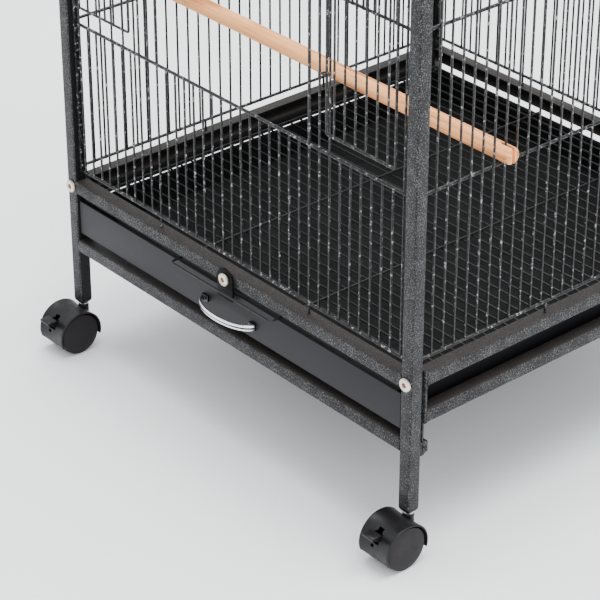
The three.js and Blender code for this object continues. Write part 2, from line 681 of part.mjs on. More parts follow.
// Wheel with a dished outer face and a blind bore for the axle.
function wheel() {
  const boreEnd = 16.6;
  const dish = WHEEL_OUT - 0.8;
  const profile = [
    [0, boreEnd], [AXLE_R + GAP, boreEnd], [AXLE_R + GAP, WHEEL_IN],
    [WHEEL_R - 1.5, WHEEL_IN], [WHEEL_R, WHEEL_IN + 1.5], [WHEEL_R, WHEEL_OUT - 2.5],
    [WHEEL_R - 2, WHEEL_OUT], [WHEEL_R - 5, WHEEL_OUT], [WHEEL_R - 6.5, dish], [0, dish],
  ];
  return turned(profile, 20).rotate([0, 90, 0]).translate([0, -WHEEL_TRAIL, WHEEL_R]);
}

function arcPoints(radius, from, to, steps) {
  return Array.from({ length: steps + 1 }, (_, i) => {
    const angle = THREE.MathUtils.degToRad(from + ((to - from) * i) / steps);
    return [radius * Math.cos(angle) - WHEEL_TRAIL, radius * Math.sin(angle) + WHEEL_R];
  });
}

// Hood: a cover band over both wheels, a web between them and a boss for the stem.
function hood() {
  const band = polygon([
    ...arcPoints(HOOD_R, HOOD_FROM, HOOD_TO, 18),
    ...arcPoints(HOOD_IN, HOOD_TO, HOOD_FROM, 18),
  ]);
  const web = polygon([[-WHEEL_TRAIL, WHEEL_R], ...arcPoints(HOOD_IN + 0.8, 10, 120, 8)]);
  const pieces = [
    slabAcross(band, -HOOD_HALF, HOOD_HALF),
    slabAcross(web, -WEB, WEB),
    roundBar(7.5, "x", -WEB, WEB, [-WHEEL_TRAIL, WHEEL_R]),
    roundBar(BOSS_R, "z", 21, BOSS_TOP, [0, 0], 16),
  ];
  const leverSlot = polygon([[-WHEEL_TRAIL - 12, WHEEL_R + 8], ...arcPoints(34, 165, 124, 3)]);
  const tools = [
    roundBar(PIN_R + GAP, "z", 23.7, BOSS_TOP + 1, [0, 0]),
    roundBar(AXLE_R + GAP, "x", -WEB - 1, WEB + 1, [-WHEEL_TRAIL, WHEEL_R], 10),
    slabAcross(leverSlot, -LEVER_HALF - 1.4, LEVER_HALF + 1.4),
  ];
  return cut(join(pieces), tools);
}

// Brake lever pivoted between the wheels; its pedal stands out over the trailing side.
function brakeLever() {
  const neck = [[-14, 13.5], [-14, 9.5], [-19, 7.5], [-23.5, 10.5], [-30, 16.5], [-30, 19.8], [-24, 19.8]];
  const pedal = [[-24.5, 18.6], [-35.5, 18.6], [-35.5, 22], [-23.5, 22]];
  const fromAxle = ([y, z]) => [y - WHEEL_TRAIL, z + WHEEL_R];
  return slabAcross(polygon(neck.map(fromAxle)), -LEVER_HALF, LEVER_HALF)
    .add(slabAcross(polygon(pedal.map(fromAxle)), -PEDAL_HALF, PEDAL_HALF));
}

makePosts();
makeRails();
makePanels();
makeDoors();
makePerch();
makeDrawer();
makeGrate();
makeLatch();
makeCasters();

export default cage;
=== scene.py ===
import math

import bpy
from mathutils import Matrix, Vector


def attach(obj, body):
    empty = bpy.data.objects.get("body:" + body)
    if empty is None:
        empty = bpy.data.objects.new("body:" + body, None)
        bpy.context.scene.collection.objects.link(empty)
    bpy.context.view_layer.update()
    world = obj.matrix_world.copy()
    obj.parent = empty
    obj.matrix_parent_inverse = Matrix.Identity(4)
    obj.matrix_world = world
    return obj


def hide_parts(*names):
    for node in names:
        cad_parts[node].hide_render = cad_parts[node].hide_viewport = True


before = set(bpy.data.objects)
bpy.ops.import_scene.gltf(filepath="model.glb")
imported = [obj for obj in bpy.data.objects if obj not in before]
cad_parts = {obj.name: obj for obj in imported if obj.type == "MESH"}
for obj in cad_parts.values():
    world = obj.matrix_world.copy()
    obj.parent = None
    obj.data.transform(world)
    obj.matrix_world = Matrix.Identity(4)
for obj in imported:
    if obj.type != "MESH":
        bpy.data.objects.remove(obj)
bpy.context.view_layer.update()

MM = 0.001

# ---------------------------------------------------------------- dimensions, in millimetres
HALF = 280.0
TUBE = 15.0
WALL = 1.2
GAP = 0.3
SHARP = 0.02
INNER = HALF - TUBE
POST_C = HALF - TUBE / 2
POST_BOTTOM = 58.0
POST_TOP = 1245.0
TOP_Z = 1260.0
UPPER_Z = 196.0
LOWER_Z = 122.5
SIDE_LOW_Z = 153.5
RUNNER_HALF = 250.0
LEDGE_HALF = 252.0
LEDGE_Z = 186.2
PITCH = 15.0
WIRE_R = 1.2
ROD_R = 1.75
PLANE = HALF - 8.0
RODS = [224.0, 401.5, 568.5, 736.0, 903.0, 1070.0, 1237.0]
STILE = 262.9
DOOR_HALF = 120.0
DOOR_EDGE = 128.0
DOOR_TALL = 328.0
DOOR_RAISED = 334.0
DOOR_GUIDE = 135.0
DOOR_PLANE = PLANE + 5.2
SIDE_FEET = 90.0
FEEDER_EDGE = 150.0
FEEDER_BOTTOM = 424.0
FEEDER_TOP = 600.0
FEEDER_LEFT = -256.0
FEEDER_RIGHT = 151.0
FEEDER_W = 96.6
TRAY_BOTTOM = 147.0
TRAY_TOP = 187.5
GRATE_Z = 189.3
SCREW_Z = UPPER_Z + TUBE / 2
SCREW_HEAD_R = 7.0
SCREW_HEAD_THICK = 3.0
SCREW_SIDES = 36
PERCH_Y = -157.5
PERCH_Z = 412.5
PERCH_R = 9.0
TRAY_HALF = 256.5
TRAY_FRONT = -276.6
TRAY_BACK = 263.0
SHEET = 1.2
FASCIA = -277.5
FASCIA_HALF = 262.7
HANDLE_Z = 162.8
HANDLE_FACE = FASCIA - GAP
HANDLE_HALF = 44.0
HANDLE_REACH = 21.0
HANDLE_FOOT_X = 39.0
STRAP_HALF = 3.3
BOW_STEPS = 44
GRATE_HALF = 261.3
GRATE_FRONT = -272.0
GRATE_BACK = 262.0
PULL_HALF = 82.0
PULL_Y = -291.0
LATCH_R = 12.8
LATCH_DROP = 23.5
LATCH_CORNER = 3.0
LATCH_BACK = -281.9
LATCH_FACE = -283.7
WHEEL_R = 25.0
TRAIL = 20.0
AXLE = (0.0, -TRAIL, WHEEL_R)
HOOD_HALF = 21.3
HOOD_FROM, HOOD_TO, HOOD_STEPS = -16, 201, 48
# Each opening in the hood for the lever runs from one x to another and from one angle to another.
HOOD_OPENINGS = [(-5.6, 5.6, 134, 161), (-3.4, 3.6, 123, 138), (-4.6, -0.2, 164.5, 172)]
CORNERS = [("front_left", -1, -1), ("front_right", 1, -1), ("rear_left", -1, 1), ("rear_right", 1, 1)]


# ---------------------------------------------------------------- mesh helpers
class Shape:
    """Points and faces in millimetres, gathered into one object."""

    def __init__(self):
        self.v = []
        self.f = []
        self.place = Matrix.Identity(4)

    def add(self, points, faces):
        base = len(self.v)
        self.v.extend(self.place @ Vector(p) for p in points)
        self.f.extend([base + i for i in face] for face in faces)

    def rings(self, rings, loop=False):
        """A skin over rings of equally many points, capped unless the last ring joins the first."""
        n = len(rings[0])
        count = len(rings)
        faces = []
        for i in range(count if loop else count - 1):
            a, b = i * n, ((i + 1) % count) * n
            for j in range(n):
                k = (j + 1) % n
                faces.append([a + j, a + k, b + k, b + j])
        if not loop:
            faces.append(list(range(n))[::-1])
            faces.append([(count - 1) * n + j for j in range(n)])
        self.add([p for ring in rings for p in ring], faces)

    def tube(self, path, radius, sides=10, loop=False):
        """A round wire along a path, with domed ends."""
        pts = [Vector(p) for p in path]
        n = len(pts)
        tangents = []
        for i in range(n):
            if loop:
                t = pts[(i + 1) % n] - pts[i - 1]
            else:
                t = pts[min(i + 1, n - 1)] - pts[max(i - 1, 0)]
            tangents.append(t.normalized())
        first = tangents[0]
        side = first.cross(Vector((0, 0, 1)))
        if side.length < 0.1:
            side = first.cross(Vector((1, 0, 0)))
        side.normalize()
        sides_at = [side]
        for i in range(1, n):
            q = tangents[i - 1].rotation_difference(tangents[i])
            side = (q @ side).normalized()
            side = (side - tangents[i] * side.dot(tangents[i])).normalized()
            sides_at.append(side)

        def ring(p, t, s, r):
            up = t.cross(s)
            return [p + (s * math.cos(a) + up * math.sin(a)) * r
                    for a in (2 * math.pi * k / sides for k in range(sides))]

        rings = [ring(p, t, s, radius) for p, t, s in zip(pts, tangents, sides_at)]
        if not loop:
            def dome(p, t, s, sign):
                return [ring(p + t * sign * radius * math.sin(a), t, s, radius * math.cos(a))
                        for a in (math.radians(35), math.radians(65))]
            rings = dome(pts[0], tangents[0], sides_at[0], -1)[::-1] + rings
            rings += dome(pts[-1], tangents[-1], sides_at[-1], 1)
        self.rings(rings, loop=loop)

    def sweep(self, axis, a, b, profile, inner=None, soft=0.3):
        """A straight bar of any section; profile is a list of points across the axis."""
        def at(t, p, shrink):
            cx = sum(q[0] for q in profile) / len(profile)
            cy = sum(q[1] for q in profile) / len(profile)
            u, w = p
            du, dw = u - cx, w - cy
            size = max(math.hypot(du, dw), 1e-6)
            u, w = u - du / size * shrink, w - dw / size * shrink
            return {"x": (t, u, w), "y": (u, t, w), "z": (u, w, t)}[axis]

        s = 1 if b > a else -1
        stations = [(a, soft), (a + s * soft, 0), (b - s * soft, 0), (b, soft)]
        outer = [[at(t, p, k) for p in profile] for t, k in stations]
        flip = (axis == "y") != (s < 0)
        if inner is None:
            if flip:
                outer = [r[::-1] for r in outer]
            self.rings(outer)
            return
        hole = [[at(t, p, 0) for p in inner] for t in (b, a)]
        rings = outer + hole
        if flip:
            rings = [r[::-1] for r in rings]
        self.rings(rings, loop=True)

    def lathe(self, profile, segments=32, at=(0, 0, 0), axis="z"):
        """A turned body from (radius, height) pairs; radius 0 closes an end."""
        turn = {"z": Matrix.Identity(3), "x": Matrix(((0, 0, 1), (1, 0, 0), (0, 1, 0))),
                "y": Matrix(((0, 1, 0), (0, 0, 1), (1, 0, 0))),
                "-y": Matrix(((1, 0, 0), (0, 0, -1), (0, 1, 0))),
                "-x": Matrix(((0, 0, -1), (0, 1, 0), (1, 0, 0)))}[axis]
        c = Vector(at)
        rings = []
        for r, h in profile:
            rings.append([c + turn @ Vector((r * math.cos(t), r * math.sin(t), h))
                          for t in (2 * math.pi * k / segments for k in range(segments))])
        self.rings(rings)

    def blob(self, centre, radii, segments=8, rows=5):
        """A small ellipsoid, for welds."""
        c = Vector(centre)
        rings = []
        for i in range(1, rows):
            a = math.pi * i / rows - math.pi / 2
            level, girth = radii[2] * math.sin(a), math.cos(a)
            turns = [2 * math.pi * k / segments for k in range(segments)]
            rings.append([c + Vector((radii[0] * girth * math.cos(t), radii[1] * girth * math.sin(t), level))
                          for t in turns])
        self.rings(rings)

    def soft_box(self, lo, hi, r=0.4, steps=2):
        """A box with rounded edges. No corner gets sharper than SHARP."""
        lo, hi = Vector(lo), Vector(hi)
        r = min(r, min(hi - lo) / 2 * 0.98)
        def layer(z, inset):
            corner = max(r - inset, SHARP)
            pts = rounded_rect(lo.x + inset, hi.x - inset, lo.y + inset, hi.y - inset, corner, steps)
            return [(x, y, z) for x, y in pts]
        turns = [math.pi / 2 * k / steps for k in range(steps + 1)]
        low = [layer(lo.z + r * (1 - math.sin(a)), r * (1 - math.cos(a))) for a in turns[::-1]]
        high = [layer(hi.z - r * (1 - math.sin(a)), r * (1 - math.cos(a))) for a in turns]
        self.rings(low + high)


def rounded_rect(x0, x1, y0, y1, r, steps=3):
    """Corner points of a rounded rectangle, counter-clockwise."""
    out = []
    centres = ((x1 - r, y0 + r, -90), (x1 - r, y1 - r, 0), (x0 + r, y1 - r, 90), (x0 + r, y0 + r, 180))
    for cx, cy, start in centres:
        for k in range(steps + 1):
            a = math.radians(start + 90 * k / steps)
            out.append((cx + r * math.cos(a), cy + r * math.sin(a)))
    return out


def fillet(path, radius, steps=5, loop=False):
    """Rounds the corners of a path."""
    pts = [Vector(p) for p in path]
    n = len(pts)
    out = []
    for i, p in enumerate(pts):
        if not loop and i in (0, n - 1):
            out.append(p)
            continue
        a, b = pts[i - 1] - p, pts[(i + 1) % n] - p
        r = min(radius, a.length * 0.45, b.length * 0.45)
        s, e = p + a.normalized() * r, p + b.normalized() * r
        for k in range(steps + 1):
            t = k / steps
            out.append((1 - t) ** 2 * s + 2 * t * (1 - t) * p + t ** 2 * e)
    return out


def make(name, shape, material, body, replaces=(), smooth=35):
    """Turns a shape into an object in metres, with sharp edges kept over the given angle."""
    mesh = bpy.data.meshes.new(name)
    mesh.from_pydata([tuple(p * MM) for p in shape.v], [], shape.f)
    mesh.validate()
    mesh.polygons.foreach_set("use_smooth", [True] * len(mesh.polygons))
    mesh.set_sharp_from_angle(angle=math.radians(smooth))
    mesh.materials.append(material)
    obj = bpy.data.objects.new(name, mesh)
    bpy.context.scene.collection.objects.link(obj)
    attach(obj, body)
    if replaces:
        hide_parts(*replaces)
    return obj


# ---------------------------------------------------------------- materials
def material(name):
    m = bpy.data.materials.new(name)
    m.use_nodes = True
    tree = m.node_tree
    return m, tree, tree.nodes["Principled BSDF"]


def node(tree, kind, **values):
    n = tree.nodes.new(kind)
    for key, value in values.items():
        if key in n.inputs:
            n.inputs[key].default_value = value
        else:
            setattr(n, key, value)
    return n


def ramp(tree, source, stops):
    r = tree.nodes.new("ShaderNodeValToRGB")
    r.color_ramp.elements[0].position, r.color_ramp.elements[0].color = stops[0][0], (*stops[0][1], 1)
    r.color_ramp.elements[1].position, r.color_ramp.elements[1].color = stops[-1][0], (*stops[-1][1], 1)
    for at, colour in stops[1:-1]:
        r.color_ramp.elements.new(at).color = (*colour, 1)
    tree.links.new(source, r.inputs["Fac"])
    return r.outputs["Color"]


def object_coordinates(tree):
    return tree.nodes.new("ShaderNodeTexCoord").outputs["Object"]


def noise(tree, scale, detail=2.0, rough=0.5, distortion=0.0, stretch=None):
    vector = object_coordinates(tree)
    if stretch:
        mapping = tree.nodes.new("ShaderNodeMapping")
        mapping.inputs["Scale"].default_value = stretch
        tree.links.new(vector, mapping.inputs["Vector"])
        vector = mapping.outputs["Vector"]
    n = node(tree, "ShaderNodeTexNoise", Scale=scale, Detail=detail, Roughness=rough, Distortion=distortion)
    tree.links.new(vector, n.inputs["Vector"])
    return n.outputs["Fac"]


def drive(tree, shader, socket, source, stops):
    """Feeds a shader input from a source through a colour ramp."""
    tree.links.new(ramp(tree, source, stops), shader.inputs[socket])


def bump(tree, shader, source, strength, distance):
    b = node(tree, "ShaderNodeBump", Strength=strength, Distance=distance)
    tree.links.new(source, b.inputs["Height"])
    tree.links.new(b.outputs["Normal"], shader.inputs["Normal"])


def grey(v):
    return (v, v, v * 1.02)


def weighted_sum(tree, source, weight, other):
    """The source times a weight, plus the other."""
    both = node(tree, "ShaderNodeMath", operation="MULTIPLY_ADD")
    tree.links.new(source, both.inputs[0])
    both.inputs[1].default_value = weight
    tree.links.new(other, both.inputs[2])
    return both.outputs[0]


def share(tree, value, low, high):
    """0 below the low value, 1 above the high one."""
    r = node(tree, "ShaderNodeMapRange", **{"From Min": low, "From Max": high})
    tree.links.new(value, r.inputs["Value"])
    return r.outputs["Result"]


# Mask for upward faces, which take a smooth warm tone of painted light from above.
def top_light_mask(tree, coordinates):
    normal = tree.nodes.new("ShaderNodeSeparateXYZ")
    tree.links.new(coordinates.outputs["Normal"], normal.inputs[0])
    return share(tree, normal.outputs["Z"], 0.55, 0.85)


def inward_shade_mask(tree, coordinates):
    """1 on the upright faces that look toward the cage's middle, which get plain black painted shade."""
    flat = node(tree, "ShaderNodeVectorMath", operation="MULTIPLY")
    flat.inputs[1].default_value = (-1.0, -1.0, 0.0)
    tree.links.new(coordinates.outputs["Object"], flat.inputs[0])
    dot = node(tree, "ShaderNodeVectorMath", operation="DOT_PRODUCT")
    tree.links.new(flat.outputs["Vector"], dot.inputs[0])
    tree.links.new(coordinates.outputs["Normal"], dot.inputs[1])
    return share(tree, dot.outputs["Value"], 0.12, 0.2)


def blend(tree, first_share, colour_a, colour_b, second_share, colour_c):
    """Colour a turning to b by the first share, and that to the plain colour c by the second."""
    one = tree.nodes.new("ShaderNodeMixRGB")
    tree.links.new(first_share, one.inputs["Fac"])
    tree.links.new(colour_a, one.inputs["Color1"])
    tree.links.new(colour_b, one.inputs["Color2"])
    two = tree.nodes.new("ShaderNodeMixRGB")
    tree.links.new(second_share, two.inputs["Fac"])
    tree.links.new(one.outputs["Color"], two.inputs["Color1"])
    two.inputs["Color2"].default_value = (*colour_c, 1)
    return two.outputs["Color"]


def hammered_paint():
    """Speckled on outward faces; a smooth warm tone of painted light from above on top faces; plain black
    painted shade on faces turned to the cage's middle.
    """
    m, t, s = material("hammered_paint")
    s.inputs["Specular IOR Level"].default_value = 0.2
    fine = noise(t, 700.0, 3.0, 0.62, 0.6)
    both = weighted_sum(t, noise(t, 60.0, 2.0, 0.5), 0.18, fine)
    speckle = ramp(t, both, [(0.42, grey(0.002)), (0.53, grey(0.007)), (0.62, grey(0.020)),
                             (0.75, grey(0.13))])
    # Smooth warm tone for top faces: painted light from above, not a different paint.
    smooth = ramp(t, both, [(0.40, (0.016, 0.014, 0.0125)), (0.62, (0.024, 0.021, 0.019)),
                            (0.80, (0.050, 0.045, 0.040))])
    place = t.nodes.new("ShaderNodeTexCoord")
    # Faces turned to the cage's middle get plain black (0.006) as painted shade.
    colour = blend(t, top_light_mask(t, place), speckle, smooth, inward_shade_mask(t, place), (0.006, 0.006, 0.006))
    t.links.new(colour, s.inputs["Base Color"])
    drive(t, s, "Roughness", fine, [(0.35, grey(0.62)), (0.7, grey(0.40))])
    bump(t, s, fine, 0.5, 0.0006)
    return m


def wire_paint():
    """Black paint with bright specks, on the fixed wires and the doors."""
    m, t, s = material("wire_paint")
    s.inputs["Specular IOR Level"].default_value = 0.32
    fine = noise(t, 280.0, 2.0, 0.6)
    drive(t, s, "Base Color", fine,
          [(0.40, grey(0.004)), (0.56, grey(0.012)), (0.62, grey(0.05)), (0.70, grey(0.30))])
    drive(t, s, "Roughness", noise(t, 260.0), [(0.3, grey(0.24)), (0.7, grey(0.44))])
    bump(t, s, fine, 0.5, 0.0004)
    return m


def grate_paint():
    """Plain black gloss paint with a few specks."""
    m, t, s = material("grate_paint")
    s.inputs["Specular IOR Level"].default_value = 0.3
    fine = noise(t, 600.0, 2.0, 0.6)
    drive(t, s, "Base Color", fine, [(0.4, grey(0.0028)), (0.6, grey(0.006)), (0.75, grey(0.028))])
    drive(t, s, "Roughness", noise(t, 260.0), [(0.3, grey(0.32)), (0.7, grey(0.52))])
    bump(t, s, fine, 0.3, 0.0003)
    return m


def satin_paint():
    """The drawer's smooth charcoal paint."""
    m, t, s = material("satin_charcoal_paint")
    s.inputs["Specular IOR Level"].default_value = 0.25
    fine = noise(t, 900.0, 2.0, 0.5)
    broad = noise(t, 9.0, 3.0, 0.5)
    drive(t, s, "Base Color", broad, [(0.3, (0.0095, 0.0088, 0.0112)), (0.7, (0.0122, 0.0113, 0.0140))])
    drive(t, s, "Roughness", fine, [(0.3, grey(0.46)), (0.7, grey(0.56))])
    bump(t, s, fine, 0.12, 0.0002)
    return m


def tray_shade_paint():
    """The litter tray's inside: dead black painted shade, with a little dust."""
    m, t, s = material("tray_inside_shade_paint")
    s.inputs["Specular IOR Level"].default_value = 0.12
    drive(t, s, "Base Color", noise(t, 14.0, 4.0, 0.6), [(0.35, grey(0.0025)), (0.7, grey(0.006))])
    drive(t, s, "Roughness", noise(t, 90.0, 3.0), [(0.3, grey(0.6)), (0.7, grey(0.85))])
    bump(t, s, noise(t, 700.0), 0.1, 0.0002)
    return m


def latch_shade_paint():
    # The latch plate's own dark paint, darkened to near black as painted shade.
    m, t, s = material("latch_shade_paint")
    s.inputs["Specular IOR Level"].default_value = 0.08
    drive(t, s, "Base Color", noise(t, 80.0, 3.0),
          [(0.3, (0.0014, 0.0013, 0.0015)), (0.7, (0.0026, 0.0025, 0.0028))])
    drive(t, s, "Roughness", noise(t, 500.0), [(0.3, grey(0.42)), (0.7, grey(0.58))])
    bump(t, s, noise(t, 900.0), 0.12, 0.0002)
    return m


def browned_socket():
    """The browned socket of a screw."""
    m, t, s = material("browned_socket")
    s.inputs["Metallic"].default_value = 0.6
    drive(t, s, "Base Color", noise(t, 900.0, 3.0), [(0.35, (0.10, 0.045, 0.030)), (0.7, (0.26, 0.14, 0.10))])
    drive(t, s, "Roughness", noise(t, 600.0), [(0.3, grey(0.45)), (0.7, grey(0.65))])
    return m


def chrome(name, grain, dark, light, polish):
    """Plated metal: its name, grain scale, darkest and lightest colour, and roughness range."""
    m, t, s = material(name)
    s.inputs["Metallic"].default_value = 1.0
    drive(t, s, "Base Color", noise(t, grain, 3.0), [(0.3, dark), (0.7, light)])
    drive(t, s, "Roughness", noise(t, 120.0, 4.0, 0.6), [(0.35, grey(polish[0])), (0.7, grey(polish[1]))])
    return m


def warm_nickel():
    m, t, s = material("warm_nickel")
    s.inputs["Metallic"].default_value = 0.75
    fine = noise(t, 700.0, 2.0)
    drive(t, s, "Base Color", fine, [(0.3, (0.66, 0.60, 0.49)), (0.7, (0.80, 0.74, 0.62))])
    drive(t, s, "Roughness", noise(t, 300.0), [(0.3, grey(0.30)), (0.7, grey(0.42))])
    bump(t, s, fine, 0.1, 0.0001)
    return m


def zinc_steel():
    m, t, s = material("zinc_steel")
    s.inputs["Metallic"].default_value = 1.0
    drive(t, s, "Base Color", noise(t, 400.0, 3.0), [(0.3, (0.55, 0.56, 0.58)), (0.7, (0.70, 0.71, 0.72))])
    drive(t, s, "Roughness", noise(t, 250.0), [(0.3, grey(0.24)), (0.7, grey(0.38))])
    return m


def plastic(name, gloss, colours, sheen_scale, sheen, relief):
    """Moulded nylon with a fine grain."""
    m, t, s = material(name)
    s.inputs["Specular IOR Level"].default_value = gloss
    grain = noise(t, 1400.0, 2.0, 0.6)
    drive(t, s, "Base Color", noise(t, 40.0, 3.0), [(0.3, colours[0]), (0.7, colours[1])])
    drive(t, s, "Roughness", noise(t, sheen_scale, 3.0), [(0.3, grey(sheen[0])), (0.7, grey(sheen[1]))])
    bump(t, s, grain, relief, 0.00015)
    return m


def pine():
    """Bare wood with its grain along X."""
    m, t, s = material("pine")
    s.inputs["Specular IOR Level"].default_value = 0.25
    grain = noise(t, 90.0, 4.0, 0.62, 1.2, (0.05, 1.0, 1.0))
    streak = noise(t, 420.0, 2.0, 0.6, 0.2, (0.03, 1.0, 1.0))
    drive(t, s, "Base Color", weighted_sum(t, streak, 0.35, grain),
          [(0.45, (1.0, 0.51, 0.21)), (0.62, (0.93, 0.41, 0.155)), (0.80, (0.46, 0.17, 0.06))])
    drive(t, s, "Roughness", streak, [(0.3, grey(0.52)), (0.7, grey(0.68))])
    bump(t, s, streak, 0.22, 0.0003)
    return m


HAMMERED = hammered_paint()
WIRE = wire_paint()
GRATE = grate_paint()
SATIN = satin_paint()
# Dead black painted shade for the inside of the drawer tray.
TRAY = tray_shade_paint()
# Near-black latch paint: the plate's dark colour plus painted shade.
LATCH = latch_shade_paint()
SOCKET = browned_socket()
CHROME = chrome("chrome_plate", 45.0, (0.86, 0.86, 0.87), (0.93, 0.93, 0.94), (0.09, 0.17))
# Dark chrome as painted shade and dark reflection, for the handle's groove strip and feet.
CHROME_SHADE_PAINT = chrome("chrome_shade_paint", 60.0, (0.035, 0.035, 0.040), (0.065, 0.065, 0.072), (0.16, 0.26))
NICKEL = warm_nickel()
ZINC = zinc_steel()
PLASTIC = plastic("black_plastic", 0.27, [(0.0040, 0.0038, 0.0045), (0.0070, 0.0067, 0.0075)],
                  180.0, (0.36, 0.50), 0.18)
WHEEL = plastic("wheel_plastic", 0.2, [(0.0085, 0.0066, 0.0083), (0.0115, 0.0090, 0.0112)],
                160.0, (0.42, 0.56), 0.15)
PINE = pine()


# ---------------------------------------------------------------- square tube
def square_tube(shape, axis, a, b, cu, cv, r=1.8):
    h = TUBE / 2
    outer = rounded_rect(cu - h, cu + h, cv - h, cv + h, r, 4)
    inner = rounded_rect(cu - h + WALL, cu + h - WALL, cv - h + WALL, cv + h - WALL, max(r - WALL, 0.3), 4)
    shape.sweep(axis, a, b, outer, inner, 0.25)


def channel(shape, axis, a, b, cu, cv, opening, r=1.8):
    """A square channel whose side towards `opening`, along the section's first direction, is cut away."""
    h, o = TUBE / 2, opening
    outline = [(cu + o * h, cv - h)]
    for sign in (-1, 1):
        turns = range(5) if sign < 0 else range(4, -1, -1)
        for k in turns:
            t = math.radians(90 * k / 4)
            outline.append((cu - o * (h - r + r * math.sin(t)), cv + sign * (h - r + r * math.cos(t))))
    w = h - WALL
    lip = cu + o * h
    outline += [(lip, cv + h), (lip, cv + w), (cu - o * w, cv + w), (cu - o * w, cv - w), (lip, cv - w)]
    area = sum(p[0] * q[1] - q[0] * p[1] for p, q in zip(outline, outline[1:] + outline[:1]))
    if (area < 0) != (axis == "y"):
        outline = outline[::-1]
    place = {"x": lambda t, u, w: (t, u, w), "y": lambda t, u, w: (u, t, w)}[axis]
    shape.rings([[place(t, u, w) for u, w in outline] for t in (a, b)])


def socket_screw(name, x, side, face, shank_to, node_name):
    """A flat-headed screw along Y with a hexagon socket. side is -1 at the front, 1 at the rear."""
    s = Shape()
    head = SCREW_HEAD_R
    def ring(radius_of, y):
        pts = []
        for k in range(SCREW_SIDES):
            t = 2 * math.pi * k / SCREW_SIDES
            r = radius_of(t)
            pts.append((x + r * math.cos(t), side * y, SCREW_Z + r * math.sin(t)))
        return pts if side < 0 else pts[::-1]
    def hexagon(apothem):
        return lambda t: apothem / math.cos((t % (math.pi / 3)) - math.pi / 6)
    def circle(r):
        return lambda t: r
    top = face + SCREW_HEAD_THICK
    profile = [
        (circle(2.2), shank_to), (circle(2.3), face), (circle(head - 0.5), face), (circle(head), face + 0.4),
        (circle(head), top - 0.9), (circle(head - 0.35), top - 0.35), (circle(head - 1.0), top),
        (hexagon(3.1), top), (hexagon(2.8), top - 0.3), (hexagon(2.8), top - 1.9), (circle(0.6), top - 2.3),
    ]
    s.rings([ring(f, y) for f, y in profile])
    make(name, s, NICKEL, "cage", [node_name], 30)
    floor = Shape()
    floor.rings([ring(hexagon(2.75), top - 1.9), ring(hexagon(2.75), top - 0.7),
                 ring(circle(1.5), top - 0.6)])
    make(name + "_socket", floor, SOCKET, "cage", [node_name], 30)


def build_posts():
    for name, sx, sy in CORNERS:
        s = Shape()
        square_tube(s, "z", POST_BOTTOM, POST_TOP, sx * POST_C, sy * POST_C)
        make("post_tube_" + name, s, HAMMERED, "cage", ["post_" + name], 40)
        socket_screw("post_screw_" + name, sx * POST_C, sy, HALF + GAP, INNER + 0.5, "post_bolt_" + name)
        plug = post_plug(sx * POST_C, sy * POST_C)
        make("tube_plug_" + name, plug, PLASTIC, "cage", ["post_plug_" + name], 30)


def post_plug(cx, cy):
    """A square plug with a tapered foot. Its levels are (height over its rim, half width, corner radius)."""
    levels = [(-4.5, 4.0, 2.0), (-4.5, 5.4, 2.4), (-3.9, 6.2, 2.4), (-1.8, 7.3, 2.0),
              (-0.3, 7.45, 1.8), (0.0, 7.2, 1.6), (0.0, 6.0, 1.0), (24.0, 5.8, 1.0)]
    rim = POST_BOTTOM - GAP
    plug = Shape()
    rings = []
    for up, half, corner in levels:
        square = rounded_rect(cx - half, cx + half, cy - half, cy + half, corner, 4)
        rings.append([(x, y, rim + up) for x, y in square])
    plug.rings(rings)
    return plug


def build_rails():
    mid_low = LOWER_Z + TUBE / 2
    for name, sy in (("front", -1), ("rear", 1)):
        for level, z in (("upper", SCREW_Z), ("lower", mid_low)):
            s = Shape()
            if level == "upper":
                channel(s, "x", -INNER + GAP, INNER - GAP, sy * POST_C, z, -sy)
            else:
                square_tube(s, "x", -INNER + GAP, INNER - GAP, sy * POST_C, z)
            make(f"{name}_{level}_tube", s, HAMMERED, "cage", [f"{name}_{level}_rail"], 40)


def bead(shape, a, b, r=0.8):
    """A weld bead: short overlapping ripples along a line."""
    a, b = Vector(a), Vector(b)
    count = max(int((b - a).length / 1.6), 2)
    pts = [a.lerp(b, k / count) for k in range(count + 1)]
    for k, p in enumerate(pts):
        w = r * (1 + 0.12 * math.sin(k * 2.4))
        shape.blob(p, (w, w, w), 8, 5)


